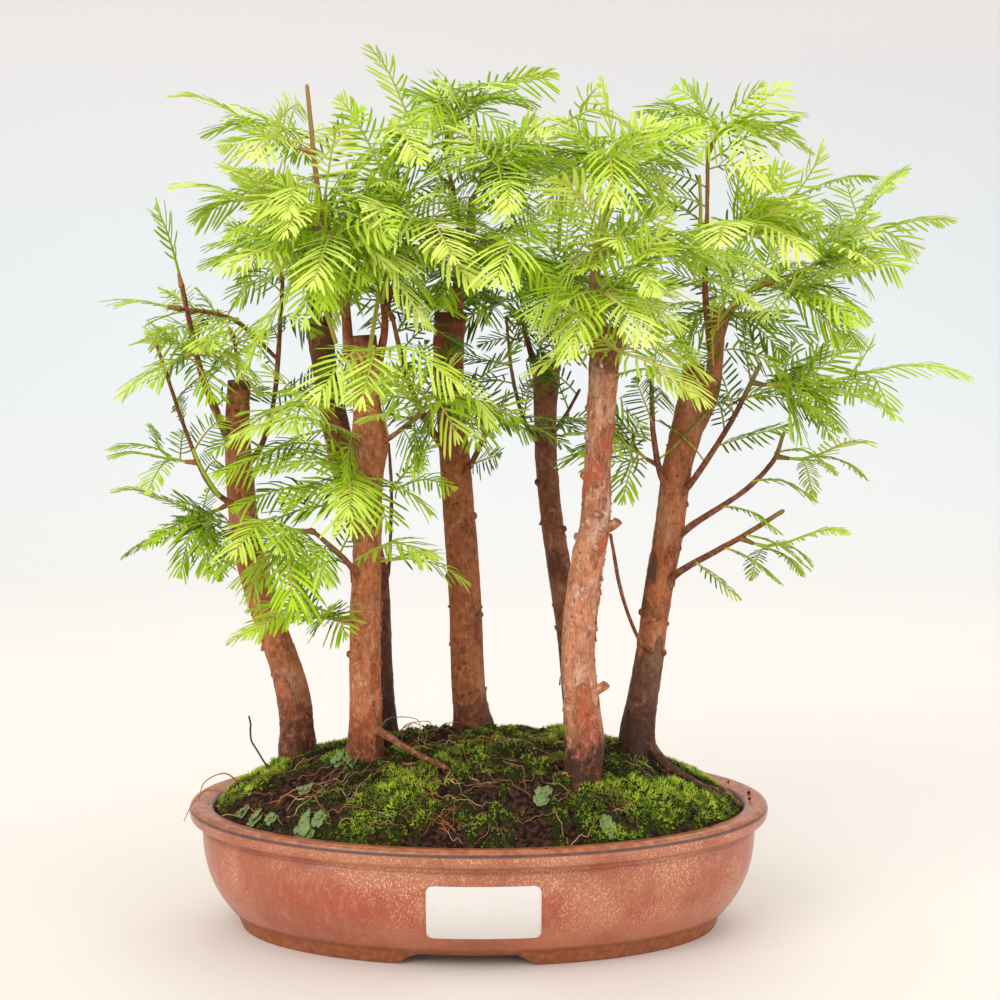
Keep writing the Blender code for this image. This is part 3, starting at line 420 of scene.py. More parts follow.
def ground(x, y):
    """The height of the soil with its moss: a flat-topped mound with low bumps, heaped a little
    round each foot, with crumbs where it is bare and cushions where there is moss."""
    out = np.minimum(np.hypot(x / (TRAY_LENGTH / 2 - 12), y / (TRAY_DEPTH / 2 - 12)), 1.0)
    bumps = 1.4 * np.sin(x / 9 + 1.3) * np.cos(y / 11) + 0.9 * np.sin(x / 23 - y / 15)
    level = SOIL_LEVEL + MOUND_RISE * (1 - out**2.2) + bumps * (1 - out**4)
    gap = np.hypot(x[..., None] - FEET[:, 0], y[..., None] - FEET[:, 1])
    level = level + 2.2 * np.exp(-(gap / 13.0) ** 4).sum(-1)
    thick, _ = mossy(x, y)
    cushion = 3.4 * (flat_grain(x, y, 8, 4) - 0.35) + 3.2 * (flat_grain(x, y, 3.6, 5) - 0.4)
    crumb = 3.4 * (flat_grain(x, y, 5, 6) - 0.70) + 2.6 * (flat_grain(x, y, 2.4, 7) - 0.5)
    return level + (thick * (cushion + 1.2) + (1 - thick) * crumb) * ease(1 - out, 0.0, 0.06)


def soil_body():
    """Ellipses from the middle of the underside out to the tray's wall, up it, and in again over
    the mound, where each point stands at the ground's height."""
    sides, inner = 340, 82
    turn = np.linspace(0, 2 * math.pi, sides, endpoint=False)
    a, b = SOIL_REACH
    wall = ((0.05, 13.4, 22.6), (1, 13.4, 22.6), (1, 30.0, 14.6), (1, 55.0, 12.6), (1, SOIL_LEVEL, 12.4))
    rows = []
    for share, z, inset in wall:
        ring = ((TRAY_LENGTH / 2 - inset) * np.cos(turn), (TRAY_DEPTH / 2 - inset) * np.sin(turn))
        rows.append(np.stack([share * ring[0], share * ring[1], np.full(sides, z)], -1))
    share = np.linspace(1.0, 0.004, inner)[1:, None]
    x, y = a * share * np.cos(turn), b * share * np.sin(turn)
    rows = np.concatenate([np.array(rows), np.stack([x, y, ground(x, y)], -1)])
    return rows.reshape(-1, 3), capped(len(rows), sides)


def effect(name, takes, gives):
    """The nodes of an effect that materials share, what it takes and what it gives."""
    tree = bpy.data.node_groups.new(name, "ShaderNodeTree")
    for way, sockets in (("INPUT", takes), ("OUTPUT", gives)):
        for label, kind in sockets.items():
            tree.interface.new_socket(label, in_out=way, socket_type="NodeSocket" + kind)
    finish = Finish(tree)
    return finish, finish.nodes.new("NodeGroupInput").outputs, finish.nodes.new("NodeGroupOutput").inputs


def placed(finish, name, **values):
    """A shared effect set to a material's own values, and what it gives, in order."""
    node = finish.nodes.new("ShaderNodeGroup")
    node.node_tree = bpy.data.node_groups[name]
    for label, value in values.items():
        finish.set(node.inputs[label], value)
    return node.outputs


grit, takes, gives = effect(
    "crumbs", {"Dark": "Color", "Light": "Color"}, {"Colour": "Color", "Normal": "Vector"}
)
coarse, fine = grit.noise(420.0, 4.0), grit.noise(1600.0, 2.0)
speckled = grit.mix(grit.span(coarse, 0.38, 0.68), takes["Dark"], takes["Light"])
grit.set(gives["Colour"], speckled)
grit.set(gives["Normal"], grit.relief(grit.math("ADD", coarse, fine), 0.0012, 0.8))
soil = begun("mossy_soil")
earth, surface = placed(soil, "crumbs", Dark=(0.012, 0.006, 0.004), Light=(0.095, 0.040, 0.020))
green = soil.mix(soil.mark("vivid"), (0.028, 0.032, 0.006), (0.075, 0.110, 0.009))
green = soil.mix(soil.span(soil.noise(700.0, 3.0), 0.35, 0.62), green, (0.026, 0.018, 0.006))
cover = soil.mix(soil.span(soil.mark("moss"), 0.25, 0.75), earth, green)
rough = soil.span(soil.noise(500.0), 0.3, 0.7, 0.65, 0.95)
mossy_soil = finished(soil, cover, rough, surface, Specular_IOR_Level=0.12)
points, faces = soil_body()
marks = dict(zip(("moss", "vivid"), mossy(points[:, 0], points[:, 1])))
shown("soil_with_moss", points, faces, mossy_soil, ["soil_mound"], "soil_and_moss", marks)


# Moss shoots are tiny leafy stars, thousands of them, on the cushions. Each is three slivers
# that lean out from one foot. Crumbs of soil lie loose between them, and a few on the lip.
MOSS_SHOOTS, MOSS_PLACES = 13000, 60000
LOOSE_CRUMBS, CRUMB_PLACES, CRUMBS_AT_FEET = 2600, 16000, 420


def scattered(count, seed):
    """Random places spread evenly over the soil's oval."""
    dice = np.random.RandomState(seed)
    share, turn = np.sqrt(dice.uniform(0, 0.985, count)), dice.uniform(0, 2 * math.pi, count)
    return SOIL_REACH[0] * share * np.cos(turn), SOIL_REACH[1] * share * np.sin(turn), dice


def slope(x, y):
    """Upward unit vectors square to the ground."""
    step = 1.5
    rise_x = (ground(x + step, y) - ground(x - step, y)) / (2 * step)
    rise_y = (ground(x, y + step) - ground(x, y - step)) / (2 * step)
    n = np.stack([-rise_x, -rise_y, np.ones_like(x)], -1)
    return n / np.linalg.norm(n, axis=-1, keepdims=True)


def moss_shoots():
    """Slivers with a three-cornered foot and a point: each leans from its shoot's middle by a
    random third of a turn, and is longer where the moss is vivid."""
    x, y, dice = scattered(MOSS_PLACES, 5)
    thick, bright = mossy(x, y)
    kept = np.flatnonzero(dice.uniform(0, 1, len(x)) < thick * 0.95 - 0.05)[:MOSS_SHOOTS]
    x, y, bright = x[kept], y[kept], bright[kept]
    painted_cushion_light = flat_grain(x, y, 3.6, 5)
    foot = np.stack([x, y, ground(x, y) - 0.25], -1)
    up = slope(x, y)
    east = np.cross([0.0, 1.0, 0.0], up)
    east /= np.linalg.norm(east, axis=-1, keepdims=True)
    north = np.cross(up, east)
    turn = dice.uniform(0, 2 * math.pi, len(x))[:, None] + np.arange(3) * 2.1
    turn = turn + dice.uniform(-0.5, 0.5, (len(x), 3))
    out = np.cos(turn)[..., None] * east[:, None] + np.sin(turn)[..., None] * north[:, None]
    side = np.cos(turn)[..., None] * north[:, None] - np.sin(turn)[..., None] * east[:, None]
    long = (dice.uniform(0.8, 1.8, (len(x), 3)) * (0.9 + 0.9 * bright[:, None]))[..., None]
    lean = dice.uniform(0.25, 0.75, (len(x), 3))[..., None]
    tip = foot[:, None] + (up[:, None] + lean * out) * long
    wide = (0.36 + 0.16 * bright)[:, None, None]
    corners = np.stack([
        foot[:, None] + side * wide, foot[:, None] - side * wide,
        foot[:, None] + up[:, None] * wide * 0.9 - out * 0.1, tip,
    ], axis=2)
    faces = np.array([(0, 2, 1), (0, 1, 3), (1, 2, 3), (2, 0, 3)])
    count = 3 * len(x)
    faces = (faces[None] + 4 * np.arange(count)[:, None, None]).reshape(-1, 3)
    # The tone is painted light and shade: higher on the tops of the moss cushions and lower in the gaps
    # between them, and more where the moss is vivid. Each sliver is darker towards its foot.
    tone = (0.52 * bright + 1.5 * (painted_cushion_light - 0.43))[:, None] + dice.uniform(-0.18, 0.30, (len(x), 3))
    tone = np.clip(tone, 0, 1)
    tone = np.repeat(tone[..., None], 4, axis=2) * (0.35, 0.35, 0.5, 1.0)
    return corners.reshape(-1, 3), faces, tone.ravel()


moss = begun("moss")
leafy = moss.mix(moss.span(moss.mark("tone"), 0.0, 0.40), (0.026, 0.032, 0.006), (0.150, 0.225, 0.012))
leafy = moss.mix(moss.span(moss.mark("tone"), 0.35, 0.95), leafy, (0.58, 0.74, 0.045))
leafy = moss.mix(moss.span(moss.noise(60.0, 3.0), 0.48, 0.7, 0.0, 0.55), leafy, (0.26, 0.20, 0.035))
rough = moss.span(moss.noise(900.0), 0.3, 0.7, 0.5, 0.75)
leafy_moss = finished(moss, leafy, rough, Specular_IOR_Level=0.2)
points, faces, tone = moss_shoots()
shown("moss_shoots", points, [faces], leafy_moss, [], "soil_and_moss", {"tone": tone})


def loose_crumbs():
    """Eight-sided grains, squeezed at random, thickest where the soil is bare and round the
    trunks' feet, and a few that lie on the lip."""
    x, y, dice = scattered(CRUMB_PLACES, 8)
    thick, _ = mossy(x, y)
    kept = np.flatnonzero(dice.uniform(0, 1, len(x)) < 0.12 + 0.9 * (1 - thick))[:LOOSE_CRUMBS]
    foot = FEET[dice.randint(0, len(FEET), CRUMBS_AT_FEET)]
    turn = dice.uniform(0, 2 * math.pi, CRUMBS_AT_FEET)
    out = dice.uniform(6.5, 13.0, CRUMBS_AT_FEET)
    x = np.append(x[kept], foot[:, 0] + out * np.cos(turn))
    y = np.append(y[kept], foot[:, 1] + out * np.sin(turn))
    size = np.exp(dice.uniform(np.log(0.35), np.log(1.25), len(x)))
    middle = np.stack([x, y, ground(x, y) + size * 0.25], -1)
    lip = np.array([
        (128.5, 8, 60.1, 1.3), (127.5, -2, 60.2, 0.9), (121, 28, 60.0, 0.7), (-126, -12, 60.2, 0.6),
        (30, -80, 60.3, 0.5), (104, -48, 60.2, 0.5),
    ])
    middle, size = np.vstack([middle, lip[:, :3]]), np.append(size, lip[:, 3])
    octahedron = np.array([(1, 0, 0), (0, 1, 0), (-1, 0, 0), (0, -1, 0), (0, 0, 1), (0, 0, -1)], float)
    squeeze = dice.uniform(0.6, 1.3, (len(size), 6, 1))
    turn = dice.uniform(0, 2 * math.pi, len(size))
    cos, sin = np.cos(turn)[:, None], np.sin(turn)[:, None]
    spun = np.stack([
        octahedron[:, 0] * cos - octahedron[:, 1] * sin, octahedron[:, 0] * sin + octahedron[:, 1] * cos,
        np.broadcast_to(octahedron[:, 2], (len(size), 6)),
    ], -1)
    points = middle[:, None] + spun * squeeze * size[:, None, None]
    faces = [(0, 1, 4), (1, 2, 4), (2, 3, 4), (3, 0, 4), (1, 0, 5), (2, 1, 5), (3, 2, 5), (0, 3, 5)]
    faces = np.array(faces)
    return points.reshape(-1, 3), (faces[None] + 6 * np.arange(len(size))[:, None, None]).reshape(-1, 3)


loam = begun("loose_soil")
earth, surface = placed(loam, "crumbs", Dark=(0.020, 0.010, 0.006), Light=(0.13, 0.060, 0.033))
rough = loam.span(loam.noise(800.0), 0.3, 0.7, 0.6, 0.95)
loose_soil = finished(loam, earth, rough, surface, Specular_IOR_Level=0.12)
points, faces = loose_crumbs()
shown("loose_crumbs", points, [faces], loose_soil, [], "soil_and_moss")


# Liverwort grows on the damp moss in flat rosettes of pale, lobed, leathery plates.
# Each rosette: x, y, radius and turn.
PLATES = (
    (-64.5, -14, 5.2, 0.3), (-57.5, -21, 5.6, 1.2), (-79, -29, 4.6, 2.1), (-77, -54.5, 6.6, 0.6),
    (-71, -52, 4.6, 2.9), (-108, -27, 4.4, 1.7), (-101, -36, 5.0, 0.2), (-93, -42, 4.0, 2.2),
    (28.6, -49, 4.6, 1.1), (31, -45.5, 3.4, 2.4), (58, -59, 4.8, 0.9), (-60, 8, 3.6, 0.5),
    (-20, 52, 5.2, 1.4), (70, 44, 4.6, 2.6), (-97, 33, 4.6, 0.1),
)


def plate(x, y, radius, turn, seed):
    """A disc whose edge is lobed as 0.66 + 0.34 |cos 2.5u|^(1/2), whose rim curls up as the cube
    of the share of the radius, and whose underside lies close below."""
    rows, sides = 3, 24
    u = np.linspace(0, 2 * math.pi, sides, endpoint=False)
    share = np.concatenate([np.linspace(0.05, 1, rows), np.linspace(1, 0.05, rows)])[:, None]
    lobes = 0.66 + 0.34 * np.sqrt(np.abs(np.cos(2.5 * u + turn))) + 0.06 * np.cos(3 * u + seed)
    edge = 0.62 * radius * lobes
    px, py = x + share * edge * np.cos(u), y + share * edge * np.sin(u)
    curl = radius * 0.10 * share**3 * (1 + 0.7 * np.cos(5 * u + turn)) + 0.3 * np.cos(3 * u + seed) * share
    under = np.concatenate([np.full(rows, -0.5), np.zeros(rows)])[:, None]
    middle = ground(np.array([x]), np.array([y]))[0]
    tilt = slope(np.array([float(x)]), np.array([float(y)]))[0]
    rest = middle - (tilt[0] * (px - x) + tilt[1] * (py - y)) / tilt[2]
    points = np.stack([px, py, rest + 0.9 + curl + under], -1)
    quads, *ends = capped(2 * rows, sides)
    return points.reshape(-1, 3), quads, [end[0] for end in ends]


wort = begun("liverwort")
skin = wort.mix(wort.span(wort.cells(1500.0), 0.1, 0.5), (0.31, 0.38, 0.16), (0.15, 0.21, 0.06))
skin = wort.mix(wort.span(wort.noise(260.0, 3.0), 0.42, 0.65, 0.0, 0.7), skin, (0.19, 0.25, 0.06))
surface = wort.relief(wort.cells(1500.0), 0.0003, 0.5)
rough = wort.span(wort.noise(300.0), 0.3, 0.7, 0.36, 0.55)
liverwort = finished(wort, skin, rough, surface, Specular_IOR_Level=0.35)
points, faces, ends, count = [], [], [], 0
for seed, (x, y, radius, turn) in enumerate(PLATES):
    for lobe in range(6):
        way = turn + 1.05 * lobe
        out = 0.46 * radius * (lobe > 0)
        row = (x + out * math.cos(way), y + out * math.sin(way), radius * (0.72 - 0.04 * lobe), way)
        plate_points, plate_faces, plate_ends = plate(*row, seed + lobe)
        points.append(plate_points + (0, 0, 0.22 * (5 - lobe)))
        faces.append(plate_faces + count)
        ends += [end + count for end in plate_ends]
        count += len(plate_points)
faces = [np.concatenate(faces), np.array(ends)]
shown("liverwort", np.vstack(points), faces, liverwort, [], "soil_and_moss")


# The anchor wire ties the root mat down through the drainage holes. Its cut end was left standing
# at the left: soft aluminium wire with a dark coat.
WIRE_DIAMETER = 0.9
WIRE_PATH = (
    (-92, 6, 60), (-97, 7, 68), (-102, 8.5, 75), (-106, 9.5, 81), (-108.3, 10, 85), (-108.5, 10, 90),
    (-108.2, 10, 93), (-109, 10, 97),
)
UP = np.array([0.0, 0.0, 1.0])


def unit(v):
    """The vector at length one."""
    return v / np.linalg.norm(v)


def across(forward, near=UP):
    """The unit vector square to forward that lies nearest to another direction."""
    side = near - forward * np.dot(near, forward)
    if np.linalg.norm(side) < 0.05:
        side = np.array([0.0, 1.0, 0.0]) - forward * forward[1]
    return unit(side)


def tangents(path):
    """The unit directions along a path."""
    ahead = np.gradient(path, axis=0)
    return ahead / np.linalg.norm(ahead, axis=1)[:, None]


def carried(path):
    """A path's directions, with normals and sides carried along it without twist."""
    forward = tangents(path)
    normal, normals = across(forward[0]), []
    for ahead in forward:
        normal = across(ahead, normal)
        normals.append(normal)
    normals = np.array(normals)
    return forward, normals, np.cross(forward, normals)


def round_bar(path, radii, sides):
    """A circle carried along a path, its radius given at each point, drawn in at both ends."""
    forward, normal, side = carried(path)
    u = np.linspace(0, 2 * math.pi, sides, endpoint=False)[:, None]
    ring = np.cos(u) * normal[:, None] + np.sin(u) * side[:, None]
    rows = path[:, None] + ring * np.asarray(radii)[:, None, None]
    first = path[0] + (rows[0] - path[0]) * 0.3 - forward[0] * radii[0] * 0.3
    last = path[-1] + (rows[-1] - path[-1]) * 0.3 + forward[-1] * radii[-1] * 0.3
    rows = np.concatenate([first[None], rows, last[None]])
    return rows.reshape(-1, 3), capped(len(rows), sides)


def merged(parts):
    """Several forms' points and groups of faces as one."""
    points, groups, count = [], {}, 0
    for part_points, part_faces in parts:
        points.append(part_points)
        for group in part_faces:
            groups.setdefault(group.shape[1], []).append(group + count)
        count += len(part_points)
    return np.vstack(points), [np.concatenate(group) for group in groups.values()]


coat = begun("wire_coat")
dark = coat.mix(coat.span(coat.noise(600.0), 0.4, 0.7), (0.012, 0.017, 0.019), (0.05, 0.062, 0.066))
rough = coat.span(coat.noise(900.0), 0.3, 0.7, 0.3, 0.5)
wire_coat = finished(coat, dark, rough, coat.relief(coat.noise(2500.0), 0.00006, 0.5))
wire_path = curve_through(WIRE_PATH, 48)
wire_path[:, :2] += 0.25 * np.stack([np.sin(wire_path[:, 2] / 4.0), np.cos(wire_path[:, 2] / 5.0)], -1)
points, faces = round_bar(wire_path, np.full(48, WIRE_DIAMETER / 2), 12)
shown("wire_end", points, faces, wire_coat, ["anchor_wire"], "anchor_wire")


# Fine roots run over the moss after repotting: tan to orange-red, curly, half a millimetre
# thick. Each is given by the places it passes, its diameter, and how high it stands clear in its
# middle. CREST_LOOPS are arches (place, half width, height), and OVER_LIP hangs over the lip.
ROOTLETS = (
    (((-91, -25), (-79, -36), (-62, -48), (-37, -58), (-22, -61), (-4, -65)), 0.95, 1.0),
    (((-119, -20), (-105, -28), (-87, -46)), 0.7, 1.0), (((-76, -46), (-67, -47), (-46, -56)), 0.6, 0.8),
    (((-33, -46), (-22, -50), (12, -56)), 0.8, 1.6), (((11, -29), (19, -37), (22, -46)), 0.9, 2.0),
    (((31, -41), (40, -46), (44, -50)), 0.8, 1.0), (((40, -69), (49, -63), (58, -58)), 0.8, 2.0),
    (((0, -68), (9, -66), (13, -71)), 0.6, 1.6), (((16, -62), (34, -58), (40, -68)), 0.65, 1.6),
    (((38, -39), (44, -41), (52, -40)), 1.3, 2.6), (((-24, -6), (-10, -18), (-4, -30)), 0.7, 2.0),
    (((-86, -6), (-80, -2), (-72, 2)), 0.8, 5.0), (((-60, -40), (-52, -44), (-40, -52)), 0.5, 1.0),
    (((0, -40), (14, -44), (30, -50)), 0.8, 1.2), (((60, -50), (70, -46), (74, -40)), 0.6, 3.0),
    (((-30, -62), (-26, -56), (-28, -50)), 0.5, 2.0), (((-14, -66), (-16, -60), (-10, -56)), 0.5, 1.5),
    (((96, -12), (106, -10), (118, -4)), 0.9, 0.8), (((112, 8), (118, 4), (124, -2)), 2.2, 1.6),
)
CREST_LOOPS = (
    ((-36, 4), 13, 16), ((-28, 8), 10, 12), ((-20, 2), 9, 9), ((-31, -2), 7, 14), ((44, 14), 6, 12),
    ((-14, 10), 8, 7),
)
OVER_LIP = (
    ((-118, -12, 66), (-127, -12, 67), (-133, -16, 61), (-136.5, -18, 54)),
    ((-112, -6, 69), (-119, -8, 74), (-128, -10, 70), (-130, -14, 62)),
)
MORE_ROOTLETS = 150


def wandering(places, wander, seed, count):
    """A curve through flat places, shifted by soft noise along it."""
    flat = curve_through(places, count)
    t = np.linspace(0, 1, count)
    spot = np.stack([t * 9, np.full(count, seed * 3.7), np.zeros(count)], -1)
    shift = np.stack([grain(spot, 1.0, seed) - 0.5, grain(spot, 1.0, seed + 40) - 0.5], -1)
    spot[:, 0] *= 3
    shift += 0.20 * np.stack([grain(spot, 1.0, seed + 80) - 0.5, grain(spot, 1.0, seed + 120) - 0.5], -1)
    return flat + shift * wander * np.sin(math.pi * np.clip(t * 1.1, 0, 1))[:, None]


def laid(places, diameter, clear, wander, seed):
    """A rootlet on the ground: it touches at its ends and stands clear between them."""
    count = int(12 + 0.9 * sum(math.dist(a[:2], b[:2]) for a, b in zip(places, places[1:])))
    flat = wandering(np.array(places, float), wander, seed, count)
    t = np.linspace(0, 1, count)
    spot = np.stack([t * 7, np.full(count, seed * 5.1), np.ones(count)], -1)
    rise = clear * (0.25 + grain(spot, 1.0, seed + 7)) * np.sin(math.pi * t)
    z = ground(flat[:, 0], flat[:, 1]) + diameter * 0.35 + rise
    path = np.column_stack([flat, z])
    path[0, 2] -= 1.2
    path[-1, 2] -= 0.8
    return round_bar(path, diameter / 2 * (1.2 - 0.75 * t), 5)


dice = random.Random(21)
parts = []
for seed, (places, diameter, clear) in enumerate(ROOTLETS):
    parts.append(laid(places, 0.7 * diameter, clear, 4.0, seed))
for seed in range(MORE_ROOTLETS):
    turn, share = dice.uniform(0, 2 * math.pi), math.sqrt(dice.uniform(0.02, 0.86))
    x, y = SOIL_REACH[0] * share * math.cos(turn), SOIL_REACH[1] * share * math.sin(turn)
    if seed % 3:
        y = -abs(y)
    heading, places = dice.uniform(-0.7, 0.7), []
    for step in range(dice.choice((3, 3, 4, 5))):
        if math.hypot(x / SOIL_REACH[0], y / SOIL_REACH[1]) < 0.97:
            places.append((x, y))
        heading += dice.uniform(-0.7, 0.7)
        x, y = x + 9 * math.cos(heading), y + 5 * math.sin(heading)
    if len(places) > 2:
        parts.append(laid(places, dice.uniform(0.22, 0.46), dice.uniform(0.3, 2.4), 3.4, 30 + seed))
for seed, ((x, y), reach, high) in enumerate(CREST_LOOPS):
    t = np.linspace(0, math.pi, 26)
    foot = ground(np.array([x - reach, x + reach * 0.6]), np.array([y, y + 3.0]))
    level = foot[0] + (foot[1] - foot[0]) * t / math.pi
    run = x - reach * np.cos(t) * (1 - 0.2 * t / math.pi) + 1.2 * np.sin(4 * t + seed)
    rise = level - 1 + high * np.sin(t) ** 0.8 * 0.8
    path = np.column_stack([run, y + t + np.sin(3 * t), rise])
    parts.append(round_bar(path, 0.24 * (1.2 - 0.5 * t / math.pi), 5))
for path in OVER_LIP:
    parts.append(round_bar(curve_through(path, 26), np.linspace(0.42, 0.2, 26), 5))
skin = begun("rootlet")
tint = skin.mix(skin.span(skin.noise(34.0, 2.0), 0.42, 0.58), (0.27, 0.125, 0.055), (0.46, 0.135, 0.040))
tint = skin.mix(skin.span(skin.noise(70.0, 2.0), 0.50, 0.64), tint, (0.60, 0.37, 0.21))
tint = skin.mix(skin.span(skin.noise(1300.0, 3.0), 0.55, 0.7, 0.0, 0.6), tint, (0.06, 0.03, 0.02))
surface = skin.relief(skin.noise(1800.0), 0.0002, 0.6)
rough = skin.span(skin.noise(400.0), 0.3, 0.7, 0.5, 0.7)
rootlet = finished(skin, tint, rough, surface, Specular_IOR_Level=0.25)
shown("rootlets", *merged(parts), rootlet, [], "soil_and_moss")


